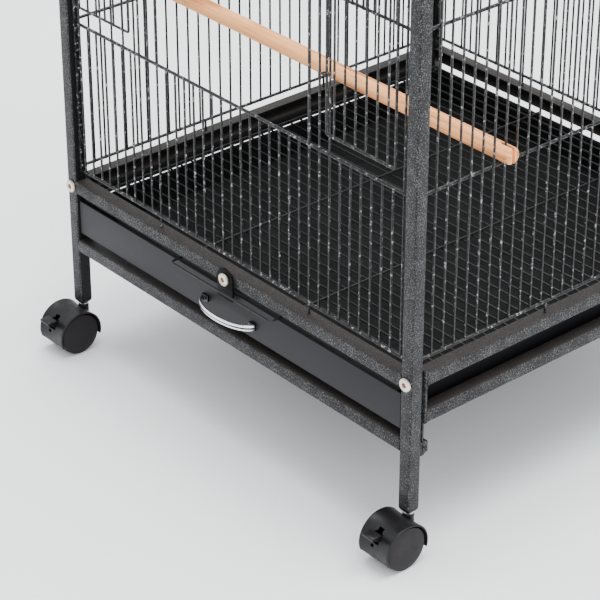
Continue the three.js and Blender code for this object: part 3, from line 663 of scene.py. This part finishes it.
def build_side_frames():
    end = INNER - 6.8
    for name, sx in (("left", -1), ("right", 1)):
        s = Shape()
        cx = sx * POST_C
        lo, hi = sorted((sx * INNER, sx * HALF))
        channel(s, "y", -end, end, cx, SCREW_Z, -sx)
        square_tube(s, "y", -end, end, cx, SIDE_LOW_Z + TUBE / 2)
        def flat(x0, x1, y0, y1, z0, z1, r=0.3):
            s.soft_box((min(x0, x1), min(y0, y1), z0), (max(x0, x1), max(y0, y1), z1), r)
        run, ledge = RUNNER_HALF, LEDGE_HALF
        flat(sx * (INNER - 1.5), sx * (INNER + 0.2), -run, run, TRAY_BOTTOM - 1.8, SIDE_LOW_Z + 6)
        flat(sx * (INNER - 18), sx * (INNER - 0.4), -run, run, TRAY_BOTTOM - 1.8, TRAY_BOTTOM - 0.4)
        flat(sx * (INNER - 1.1), sx * (INNER + 0.2), -ledge, ledge, LEDGE_Z, UPPER_Z + 0.6)
        flat(sx * (INNER - 5.5), sx * (INNER - 0.5), -ledge, ledge, LEDGE_Z, LEDGE_Z + SHEET)
        for sy in (-1, 1):
            flat(lo, hi, sy * end, sy * (end + 2.9), SIDE_LOW_Z, UPPER_Z + TUBE + 2, 0.5)
            flat(sx * (INNER + 3), sx * (HALF - 3), sy * (end + 0.5), sy * (end + 2.9), 130,
                 SIDE_LOW_Z + 1, 0.5)
            bolt_tab(s, sx, sy)
            for z in (UPPER_Z, SIDE_LOW_Z):
                y = sy * (end - 0.2)
                bead(s, (lo + 1, y, z - 0.1), (hi - 1, y, z - 0.1), 0.7)
                bead(s, (sx * (HALF - 0.1), y, z + 1), (sx * (HALF - 0.1), y, z + TUBE - 1), 0.6)
        make("side_rails_" + name, s, HAMMERED, "cage", ["side_frame_" + name], 40)


def bolt_tab(shape, sx, sy):
    """The tab below an end plate, with a cut corner and a low rivet on its outer face."""
    near, far = INNER - 0.3, 253.5
    outline = [(near, 115.5), (far + 6, 115.5), (far, 118.7), (far, 130.0), (far + 1.0, 131), (near, 131)]
    xa, xb = sorted((sx * (INNER + 2.5), sx * (HALF - 2.5)))
    sides = [[(x, sy * y, z) for y, z in outline] for x in (xa, xb)]
    shape.rings(sides if sy < 0 else sides[::-1])
    shape.lathe([(2.4, 0), (2.4, 0.8), (1.8, 1.5), (0.6, 1.7)], 20,
                (sx * (HALF - 2.5), sy * (near - 6.5), 123.0), "x" if sx > 0 else "-x")


# ---------------------------------------------------------------- wire panels
PLACES = {
    "front": lambda u, v, z: (u, -PLANE - v, z),
    "right": lambda u, v, z: (PLANE + v, u, z),
    "rear": lambda u, v, z: (-u, PLANE + v, z),
    "left": lambda u, v, z: (-PLANE - v, -u, z),
}


def row(first, last):
    return [first + PITCH * i for i in range(int(round((last - first) / PITCH)) + 1)]


FACE = row(-255.0, 255.0)
SIDE = row(-247.5, 247.5)
BACK_V = -(WIRE_R + ROD_R - 0.35)


class Panel:
    """One side's wires, placed by (along the side, outward, height)."""

    def __init__(self, side):
        self.s = Shape()
        self.at = PLACES[side]

    def upright(self, u, z0, z1, r=WIRE_R, v=0.0):
        self.s.tube([self.at(u, v, z0), self.at(u, v, z1)], r, 10)

    def cross(self, u0, u1, z, r=ROD_R, v=0.0):
        self.s.tube([self.at(u0, v, z), self.at(u1, v, z)], r, 12)

    def weld(self, u, v, z, r=1.5):
        along = Vector(self.at(1, 0, 0)) - Vector(self.at(0, 0, 0))
        rx = r if abs(along.x) > 0.5 else r * 0.9
        self.s.blob(self.at(u, v, z), (rx, r, r * 1.25), 8, 5)

    def stile(self, u):
        lo, hi = self.at(u - 1.5, -4.3, RODS[0] - 1.7), self.at(u + 1.5, 1.7, RODS[-1] + 1.7)
        self.s.soft_box([min(a, b) for a, b in zip(lo, hi)], [max(a, b) for a, b in zip(lo, hi)], 0.5)


def plain_panel(name, side, wires, feet):
    """A panel with a wire at each given place, standing on two short feet."""
    p = Panel(side)
    for u in (-STILE, STILE):
        p.stile(u)
    for u in (-feet, feet):
        p.upright(u, UPPER_Z + TUBE + 0.2, RODS[0], 1.3)
        p.weld(u, 0, UPPER_Z + TUBE + 0.8, 1.8)
    for z in (RODS[0], RODS[-1]):
        p.cross(-STILE, STILE, z)
    for z in RODS[1:-1]:
        p.cross(-STILE, STILE, z, v=BACK_V)
    for u in wires:
        p.upright(u, RODS[0] - 0.6, RODS[-1] + 0.6)
        for z in RODS[1:-1]:
            p.weld(u, BACK_V * 0.45, z)
        for z in (RODS[0], RODS[-1]):
            p.weld(u, 0, z, 1.85)
    make(name + "_wires", p.s, WIRE, "cage", [name], 40)


def guide(p, anchor, leg, tip, z):
    """A bent wire eye: welded to a fixed wire, out past the sliding rod and hooked round its front."""
    d = 1 if tip > leg else -1
    reach = DOOR_PLANE - PLANE + 3.0
    path = [p.at(anchor, 0.6, z - 1.2), p.at(leg, 0.6, z - 1.2), p.at(leg, reach, z),
            p.at(tip - d * 0.9, reach, z), p.at(tip - d * 0.4, reach - 1.6, z + 0.6)]
    p.s.tube(fillet(path, 2.2, 5), 1.0, 10)
    p.weld(anchor, 0.4, z - 1.0, 1.5)


def front_panel():
    """The front wires, leaving a main doorway and a feeder opening at each side."""
    p = Panel("front")
    bottom, sill, feeder_head, door_head = RODS[:4]
    top = RODS[-1]
    for u in (-STILE, STILE):
        p.stile(u)
    for u in (-DOOR_HALF, DOOR_HALF):
        p.upright(u, UPPER_Z + TUBE + 0.2, bottom, 1.3)
        p.weld(u, 0, UPPER_Z + TUBE + 0.8, 1.8)
        p.upright(u, sill, top, 1.6)
        p.weld(u, 0, sill, 2.1)
    for z in (bottom, top, sill):
        p.cross(-STILE, STILE, z)
    for z in RODS[4:-1]:
        p.cross(-STILE, STILE, z, v=BACK_V)
    p.cross(-DOOR_HALF, DOOR_HALF, door_head)
    for side in (-1, 1):
        p.cross(side * FEEDER_EDGE, side * STILE, feeder_head, 1.6)
    for u in FACE:
        reach = abs(u)
        spans = [(bottom, sill)]
        if reach < DOOR_HALF:
            spans.append((door_head, top))
        elif DOOR_HALF < reach <= FEEDER_EDGE:
            spans.append((sill, top))
        elif reach > FEEDER_EDGE:
            spans.append((feeder_head, top))
        if reach > 240:
            spans.append((sill, feeder_head))
        for z0, z1 in spans:
            p.upright(u, z0 - 0.5, z1 + 0.5)
            for z in (z0, z1):
                p.weld(u, 0, z, 1.8)
            if z1 == top:
                for z in RODS[4:-1]:
                    p.weld(u, BACK_V * 0.45, z)
    for z in (590, 715, 860, 1010):
        for side in (-1, 1):
            guide(p, side * DOOR_GUIDE, side * DOOR_GUIDE, side * (DOOR_GUIDE - 10), z)
    for z in (488, 590, 690):
        guide(p, -STILE, -STILE, FEEDER_LEFT + 3.5, z)
        guide(p, -FEEDER_EDGE, -FEEDER_EDGE, FEEDER_LEFT + FEEDER_W - 3.5, z)
        guide(p, FEEDER_EDGE, FEEDER_EDGE - 5, FEEDER_RIGHT + 3.5, z)
        guide(p, 255, 255, FEEDER_RIGHT + FEEDER_W - 3.5, z)
    make("front_panel_wires", p.s, WIRE, "cage", ["front_panel"], 40)


def wire_door(name, node_name, body, left, right, bottom, top, wires):
    p = Panel("front")
    v = DOOR_PLANE - PLANE
    r = 1.4
    low, high = bottom + r, top - r
    frame_path = [p.at(left, v, low), p.at(right, v, low), p.at(right, v, high), p.at(left, v, high)]
    p.s.tube(fillet(frame_path, 3.0, 5, loop=True), r, 12, loop=True)
    for u in wires:
        p.upright(u, low, high, 1.15, v)
        for z in (low, high):
            p.weld(u, v, z, 1.55)
    make(name, p.s, WIRE, body, [node_name], 40)


def build_panels():
    front_panel()
    plain_panel("right_panel", "right", SIDE, SIDE_FEET)
    plain_panel("rear_panel", "rear", FACE, DOOR_HALF)
    plain_panel("left_panel", "left", SIDE, SIDE_FEET)
    bottom = RODS[1] + DOOR_RAISED + 4
    wire_door("main_door_wires", "main_door", "main_door", -DOOR_EDGE, DOOR_EDGE, bottom, bottom + DOOR_TALL,
              row(-112.5, 112.5))
    for side, x in (("left", FEEDER_LEFT), ("right", FEEDER_RIGHT)):
        wire_door(f"feeder_{side}_wires", "feeder_door_" + side, "feeder_" + side, x, x + FEEDER_W,
                  FEEDER_BOTTOM, FEEDER_TOP, row(x + 10.8, x + 85.8))


def build_top():
    s = Shape()
    h = TUBE / 2
    hz = (TOP_Z - POST_TOP - GAP) / 2
    z = POST_TOP + GAP + hz
    profile = rounded_rect(-h, h, -hz, hz, 1.8, 4)
    rings = []
    for cx, cy in ((1, -1), (1, 1), (-1, 1), (-1, -1)):
        rings.append([(cx * (POST_C + du), cy * (POST_C + du), z + dz) for du, dz in profile])
    s.rings(rings, loop=True)
    level = TOP_Z - 6
    for x in FACE:
        s.tube([(x, -INNER - 0.5, level), (x, INNER + 0.5, level)], WIRE_R, 10)
    for y in (-90, 90):
        s.tube([(-INNER - 0.5, y, level - 2.6), (INNER + 0.5, y, level - 2.6)], ROD_R, 12)
        for x in FACE:
            s.blob((x, y, level - 1.2), (1.4, 1.6, 1.4))
    make("top_frame", s, HAMMERED, "cage", ["top_panel"], 40)


# ---------------------------------------------------------------- perch
def cut_with(obj, cutters):
    for c in cutters:
        mod = obj.modifiers.new("cut", "BOOLEAN")
        mod.operation, mod.solver, mod.object = "DIFFERENCE", "EXACT", c
    bpy.context.view_layer.update()
    made = bpy.data.meshes.new_from_object(obj.evaluated_get(bpy.context.evaluated_depsgraph_get()))
    obj.modifiers.clear()
    old = obj.data
    obj.data = made
    bpy.data.meshes.remove(old)
    for c in cutters:
        bpy.data.objects.remove(c)
    made.polygons.foreach_set("use_smooth", [True] * len(made.polygons))
    made.set_sharp_from_angle(angle=math.radians(30))


def raw(name, shape):
    mesh = bpy.data.meshes.new(name)
    mesh.from_pydata([tuple(p * MM) for p in shape.v], [], shape.f)
    obj = bpy.data.objects.new(name, mesh)
    bpy.context.scene.collection.objects.link(obj)
    return obj


def build_perch():
    """A dowel with chamfered ends, each slotted round a wire of a side panel."""
    s = Shape()
    end = PLANE + 11.0
    tip = [(4.0, 0.0), (7.0, 0.2), (8.3, 1.0), (8.85, 2.2), (PERCH_R, 3.6)]
    profile = [(r, -end + d) for r, d in tip]
    profile += [(PERCH_R, -end + 3.6 + (2 * end - 7.2) * k / 24) for k in range(1, 24)]
    profile += [(r, end - d) for r, d in tip[::-1]]
    s.lathe(profile, 40, (0, PERCH_Y, PERCH_Z), "x")
    obj = raw("perch_dowel", s)
    cutters = []
    for side in (-1, 1):
        c = Shape()
        xs = sorted((side * (PLANE - 6), side * (end + 2)))
        c.soft_box((xs[0], PERCH_Y - 1.7, PERCH_Z - 14), (xs[1], PERCH_Y + 1.7, PERCH_Z + 14), 0.3)
        cutters.append(raw("slot", c))
    cut_with(obj, cutters)
    finish(obj, PINE, "cage", "pine", "perch")


def finish(obj, look, body, slot, *nodes):
    obj.data.materials.clear()
    obj.data.materials.append(look)
    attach(obj, body)
    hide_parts(*nodes)


# ---------------------------------------------------------------- drawer, handle
def tray_ring(inset, z, corner):
    """A level of the tray: how far in from its outline, its height and its corner radius."""
    half = TRAY_HALF - inset
    outline = rounded_rect(-half, half, TRAY_FRONT + inset, TRAY_BACK - inset, corner, 4)
    return [(x, y, z) for x, y in outline]


def build_drawer():
    s = Shape()
    t = SHEET
    low, high = TRAY_BOTTOM, TRAY_TOP
    outside = [(4.0, low, 2.0), (1.4, low, 2.0), (0.4, low + 0.4, 2.4), (0.0, low + 1.4, 2.6)]
    rim = [(0.0, high - 0.5, 2.6), (0.25, high - 0.1, 2.4), (0.6, high, 2.2), (0.95, high - 0.1, 2.0),
           (t, high - 0.5, 1.6)]
    inside = [(t, low + t + 1.2, 1.6), (t + 0.3, low + t + 0.3, 1.5), (t + 1.2, low + t, 1.4),
              (4.2, low + t, 1.2)]
    s.rings([tray_ring(*level) for level in outside + rim + inside])
    half = FASCIA_HALF
    s.soft_box((-half, FASCIA, low), (half, FASCIA + 1.5, high - 0.5), 0.55, 3)
    s.tube([(-half + 0.5, FASCIA + 0.95, high - 1.0), (half - 0.5, FASCIA + 0.95, high - 1.0)], 0.95, 12)
    make("drawer_body", s, SATIN, "drawer", ["drawer_tray"], 30)
    build_shade_lining(TRAY_BOTTOM + t)
    for name, side in (("left", -1), ("right", 1)):
        screw = Shape()
        profile = [(1.2, 0.0), (1.5, 0.4), (1.6, 1.8), (3.3, 1.8),
                   (3.3, 2.4), (2.9, 3.3), (1.8, 3.9), (0.5, 4.0)]
        screw.lathe(profile, 24, (side * HANDLE_FOOT_X, FASCIA, HANDLE_Z), "y")
        make("handle_fixing_" + name, screw, ZINC, "drawer", ["handle_screw_" + name], 30)


def build_shade_lining(floor):
    """A dead black sheet over the tray's inside, as painted shade."""
    pan = Shape()
    edge = SHEET + 0.06
    inner = SHEET + 0.4
    top = TRAY_TOP - 1.6
    levels = [(5.0, floor + 0.06, 1.2), (edge, floor + 0.06, 1.5), (edge, top, 1.5),
              (inner, top, 1.4), (inner, floor + 0.4, 1.4), (5.0, floor + 0.4, 1.2)]
    pan.rings([tray_ring(*level) for level in levels])
    make("drawer_shade_lining", pan, TRAY, "drawer", ["drawer_tray"], 30)


def bow_rings(section, first, last, slimming=lambda ca: 1.0):
    """A section of (depth, height) points carried along the handle's half ellipse."""
    rings = []
    for k in range(first, last + 1):
        a = math.pi * k / BOW_STEPS
        ca, sa = math.cos(a), math.sin(a)
        nx, ny = HANDLE_REACH * ca, HANDLE_HALF * sa
        n = math.hypot(nx, ny)
        nx, ny = nx / n, ny / n
        x, y = HANDLE_HALF * ca, HANDLE_FACE - HANDLE_REACH * sa
        slim = slimming(ca)
        rings.append([(x - nx * d, y + ny * d, HANDLE_Z + dz * slim) for d, dz in section][::-1])
    return rings


def build_handle():
    """A bowed strap with a dark strip of painted shade along its outer face, on two flat feet whose dark
    chrome is painted shade.
    """
    s = Shape()
    hh = STRAP_HALF
    edge = [(0.0, 0.7), (0.25, 0.2), (0.8, 0.0), (2.0, 0.1), (2.4, 0.6), (2.3, 1.2)]
    back = [(1.5, -0.9), (1.15, -0.3), (1.15, 0.3), (1.5, 0.9)]
    crown = [(-0.12, 1.0), (-0.15, 0.0), (-0.12, -1.0)]
    section = [(d, -hh + e) for d, e in edge] + back + [(d, hh - e) for d, e in edge[::-1]] + crown
    s.rings(bow_rings(section, 0, BOW_STEPS))
    make("handle_bow", s, CHROME, "drawer", ["drawer_handle"], 50)
    # A thin dark strip on the strap's outer face, painted shade for its groove.
    groove = Shape()
    strip = [(0.4, -1.0), (0.4, 1.0), (-0.24, 1.15), (-0.3, 0.0), (-0.24, -1.15)]
    groove.rings(bow_rings(strip, 1, BOW_STEPS - 1, lambda ca: 0.45 + 0.55 * abs(ca)))
    make("handle_groove_shade", groove, CHROME_SHADE_PAINT, "drawer", ["drawer_handle"], 50)
    # The feet are in dark chrome as painted shade.
    feet = Shape()
    face = HANDLE_FACE
    for x in (-HANDLE_FOOT_X, HANDLE_FOOT_X):
        feet.soft_box((x - 5.4, face - 3.0, HANDLE_Z - 3.9), (x + 5.4, face, HANDLE_Z + 3.9), 1.0, 4)
        feet.lathe([(2.6, 0.0), (2.6, 0.5), (2.2, 0.9), (0.4, 1.0)], 20, (x, face - 2.9, HANDLE_Z), "-y")
    make("handle_feet", feet, CHROME_SHADE_PAINT, "drawer", ["drawer_handle"], 40)


# ---------------------------------------------------------------- grate, latch
def build_grate():
    """Cross wires in a wire rim, with a long U-shaped pull on top that stands out at the front."""
    s = Shape()
    z = GRATE_Z
    half, front, rear = GRATE_HALF, GRATE_FRONT, GRATE_BACK
    outline = [(-half, front, z), (half, front, z), (half, rear, z), (-half, rear, z)]
    s.tube(fillet(outline, 4.0, 5, loop=True), 1.3, 12, loop=True)
    for y in row(-260.0, 250.0):
        s.tube([(-half, y, z), (half, y, z)], 1.1, 8)
        for x in (-half, half):
            s.blob((x, y, z), (1.6, 1.5, 1.4))
        for x in (-PULL_HALF, PULL_HALF):
            s.blob((x, y, z + 1.5), (1.3, 1.3, 1.2), 8, 4)
    pull = z + 2.8
    start = rear + 0.6
    path = [(-PULL_HALF, start, pull), (-PULL_HALF, PULL_Y, pull), (PULL_HALF, PULL_Y, pull),
            (PULL_HALF, start, pull)]
    s.tube(fillet(path, 7.0, 7), 1.2, 12)
    for x in (-PULL_HALF, PULL_HALF):
        for y in (front, rear):
            s.blob((x, y, z + 1.4), (1.6, 1.6, 1.7))
    make("grate_wires", s, GRATE, "grate", ["floor_grate"], 40)


def latch_outline():
    """Round over the screw, straight down the sides, with small round lower corners."""
    r, corner = LATCH_R, LATCH_CORNER
    turns = [math.pi * k / 20 for k in range(21)]
    outline = [(r * math.cos(a), SCREW_Z + r * math.sin(a)) for a in turns]
    low = SCREW_Z - LATCH_DROP + corner
    for cx, start in ((-r + corner, 180), (r - corner, 270)):
        for k in range(6):
            a = math.radians(start + 90 * k / 5)
            outline.append((cx + corner * math.cos(a), low + corner * math.sin(a)))
    return outline


def build_latch():
    s = Shape()
    outline = latch_outline()
    middle = SCREW_Z - 4
    def ring(y, inset):
        pts = []
        for x, z in outline:
            size = math.hypot(x, z - middle)
            pts.append((x - x / size * inset, y, z - (z - middle) / size * inset))
        return pts
    back, face = LATCH_BACK, LATCH_FACE
    s.rings([ring(back, 0.3), ring(back - 0.3, 0), ring(face + 0.4, 0), ring(face + 0.12, 0.15),
             ring(face, 0.45)])
    make("latch_turn_plate", s, LATCH, "latch", ["latch_plate"], 35)
    socket_screw("latch_socket_screw", 0.0, -1, HALF + 4, HALF - 6, "latch_screw")


# ---------------------------------------------------------------- casters
def arc(radius, start, stop, steps):
    """Points (y, z) about the axle, the angles counted from the swivel side."""
    turns = [math.radians(start + (stop - start) * k / steps) for k in range(steps + 1)]
    return [(radius * math.cos(a) - TRAIL, radius * math.sin(a) + WHEEL_R) for a in turns]


def across(shape, outline, x0, x1, soft=0.4):
    """A closed outline in the YZ plane, extruded along X with softened edges."""
    cy = sum(p[0] for p in outline) / len(outline)
    cz = sum(p[1] for p in outline) / len(outline)
    def ring(x, inset):
        out = []
        for y, z in outline:
            d = math.hypot(y - cy, z - cz) or 1
            out.append((x, y - (y - cy) / d * inset, z - (z - cz) / d * inset))
        return out
    shape.rings([ring(x0, soft), ring(x0 + soft, 0), ring(x1 - soft, 0), ring(x1, soft)])


def cover_band(place):
    """The hood's shell over both wheels, with a lip at each side and the lever's openings."""
    band = Shape()
    band.place = place
    w = HOOD_HALF
    half = [(25.6, w), (26.6, w), (27.05, w - 0.3), (27.25, w - 0.8), (27.2, w - 2.2), (26.8, w - 2.9)]
    inside = [(25.6, -w + 2.0), (25.7, -w + 1.0)]
    section = half + [(r, -x) for r, x in half[::-1]]
    section += inside[::-1] + [(r, -x) for r, x in inside]
    rings = []
    for k in range(HOOD_STEPS + 1):
        a = math.radians(HOOD_FROM + (HOOD_TO - HOOD_FROM) * k / HOOD_STEPS)
        flare = 1.1 * max(math.cos(a), 0)
        ca, sa = math.cos(a), math.sin(a)
        ring = [(x, (r + flare) * ca - TRAIL, (r + flare) * sa + WHEEL_R) for r, x in section]
        rings.append(ring[::-1])
    band.rings(rings)
    obj = raw("cover", band)
    cutters = []
    for x0, x1, start, stop in HOOD_OPENINGS:
        c = Shape()
        c.place = place
        across(c, arc(29.0, start, stop, 6) + arc(24.8, stop, start, 6), x0, x1, 0.05)
        cutters.append(raw("opening", c))
    cut_with(obj, cutters)
    return obj


def caster_core(place):
    """The web between the wheels, the axle's hub and the boss round the stem."""
    core = Shape()
    core.place = place
    across(core, [(-TRAIL, WHEEL_R)] + arc(25.9, 10, 120, 14), -5.9, 5.9)
    core.lathe([(3.2, -5.9), (7.5, -5.9), (7.5, 5.9), (3.2, 5.9)], 28, AXLE, "x")
    boss = [(3.5, 21.0), (5.6, 21.0), (6.0, 21.5), (6.0, 48.0), (5.9, 49.4), (5.5, 50.0), (3.5, 50.0)]
    core.lathe(boss, 28)
    return core


def caster_stem(place):
    stem = Shape()
    stem.place = place
    pin = [(1.5, 24), (3.3, 24), (3.3, 50.6)]
    collar = [(5.3, 50.7), (5.6, 51.1), (5.6, 52.3), (5.2, 52.8), (3.8, 53.0)]
    stem.lathe(pin + collar + [(3.8, 78)], 32)
    return stem


def caster_axle(place):
    axle = Shape()
    axle.place = place
    axle.lathe([(1.5, -16), (2.6, -16), (3.0, -15.6), (3.0, 15.6), (2.6, 16), (1.5, 16)], 20, AXLE, "x")
    return axle


def caster_wheel(place, side):
    """A wheel with a hub, a hollow inner face, a tread and a raised outer disc."""
    hub = [(3.4, 16.4), (3.4, 6.4), (9.0, 6.4), (9.0, 7.6), (20.0, 7.6)]
    tread = [(20.5, 6.4), (23.7, 6.4), (24.6, 6.8), (25.0, 7.9), (25.0, 14.8), (24.7, 15.8)]
    disc = [(24.1, 16.2), (24.1, 19.6), (23.8, 20.2), (23.1, 20.5), (12.0, 20.45), (4.0, 20.4), (0.6, 20.4)]
    wheel = Shape()
    wheel.place = place
    wheel.lathe(hub + tread + disc, 64, AXLE, "x" if side > 0 else "-x")
    return wheel


def brake_lever(place):
    """The lever's neck and pedal, outlined about the axle as seen from the side."""
    neck = [(-14, 13.5), (-14, 9.5), (-19, 7.5), (-23.5, 10.5), (-30, 16.5), (-30, 19.8), (-24, 19.8)]
    pedal = [(-24.2, 18.7), (-33.6, 18.0), (-34.8, 18.5), (-35.45, 19.8), (-35.3, 21.2), (-34.3, 21.9),
             (-30, 21.6), (-23.8, 21.7)]
    lever = Shape()
    lever.place = place
    for outline, half in ((neck, 4.7), (pedal, 7.9)):
        across(lever, [(y - TRAIL, z + WHEEL_R) for y, z in outline][::-1], -half, half, 0.5)
    return lever


def build_casters():
    for name, sx, sy in CORNERS:
        turn = Matrix.Rotation(math.pi if sy > 0 else 0, 4, "Z")
        place = Matrix.Translation((sx * POST_C, sy * POST_C, 0)) @ turn
        base = "caster_" + name
        wheels = "wheels_" + name
        cover = cover_band(place)
        cover.name = base + "_cover"
        finish(cover, PLASTIC, base, "black_plastic", base + "_hood")
        make(base + "_core", caster_core(place), PLASTIC, base, [base + "_hood"], 35)
        make(base + "_post", caster_stem(place), ZINC, "cage", [base + "_stem"], 30)
        make(base + "_pin", caster_axle(place), ZINC, wheels, [base + "_axle"], 30)
        for label, side in (("left", -1), ("right", 1)):
            wheel = caster_wheel(place, side)
            make(f"{base}_{label}_disc", wheel, WHEEL, wheels, [f"{base}_wheel_{label}"], 30)
        make(base + "_lever", brake_lever(place), PLASTIC, "brake_" + name,
             [base + "_brake_lever"], 40)


build_posts()
build_rails()
build_side_frames()
build_panels()
build_top()
build_perch()
build_drawer()
build_handle()
build_grate()
build_latch()
build_casters()


# ---------------------------------------------------------------- studio
def build_studio():
    mesh = bpy.data.meshes.new("floor")
    size = 14.0
    corners = [(-size, -size, 0), (size, -size, 0), (size, size, 0), (-size, size, 0)]
    mesh.from_pydata(corners, [], [(0, 1, 2, 3)])
    floor = bpy.data.objects.new("floor", mesh)
    bpy.context.scene.collection.objects.link(floor)
    m, t, s = material("studio_floor")
    drive(t, s, "Base Color", noise(t, 0.6, 2.0), [(0.3, (0.90, 0.905, 0.915)), (0.7, (0.92, 0.925, 0.935))])
    s.inputs["Roughness"].default_value = 0.7
    mesh.materials.append(m)

    world = bpy.data.worlds.new("studio")
    bpy.context.scene.world = world
    world.use_nodes = True
    back = world.node_tree.nodes["Background"]
    back.inputs["Color"].default_value = (0.93, 0.96, 1.0, 1)
    back.inputs["Strength"].default_value = 1.30

    def lamp(name, place, target, size_m, power):
        data = bpy.data.lights.new(name, "AREA")
        data.shape, data.size, data.energy = "SQUARE", size_m, power
        obj = bpy.data.objects.new(name, data)
        obj.location = place
        obj.rotation_mode = "QUATERNION"
        obj.rotation_quaternion = (Vector(target) - Vector(place)).to_track_quat("-Z", "Y")
        bpy.context.scene.collection.objects.link(obj)
    lamp("key", (-2.6, -2.0, 2.6), (0, -0.2, 0.25), 1.8, 14)
    lamp("fill", (3.2, -1.6, 2.2), (0.2, -0.2, 0.1), 2.6, 50)
    lamp("top", (0.3, 0.4, 3.8), (0.1, 0, 0), 3.2, 320)


# The camera stands where the picture's perspective puts it.
FOCAL_LENGTH = 146.976
CAMERA_PLACE = (1.7204, -1.6585, 1.4626)
CAMERA_FORWARD = (-0.65521, 0.56283, -0.50390)
CAMERA_YAW = 49.34


def build_camera():
    data = bpy.data.cameras.new("camera")
    data.sensor_width = 36.0
    data.lens = FOCAL_LENGTH
    data.clip_start, data.clip_end = 0.1, 60.0
    cam = bpy.data.objects.new("camera", data)
    forward = Vector(CAMERA_FORWARD).normalized()
    yaw = math.radians(CAMERA_YAW)
    right = Vector((math.cos(yaw), math.sin(yaw), 0.0))
    right = (right - forward * right.dot(forward)).normalized()
    up = right.cross(forward)
    turn = Matrix((right, up, -forward)).transposed()
    cam.matrix_world = Matrix.Translation(CAMERA_PLACE) @ turn.to_4x4()
    bpy.context.scene.collection.objects.link(cam)
    bpy.context.scene.camera = cam


build_studio()
build_camera()
bpy.context.view_layer.update()
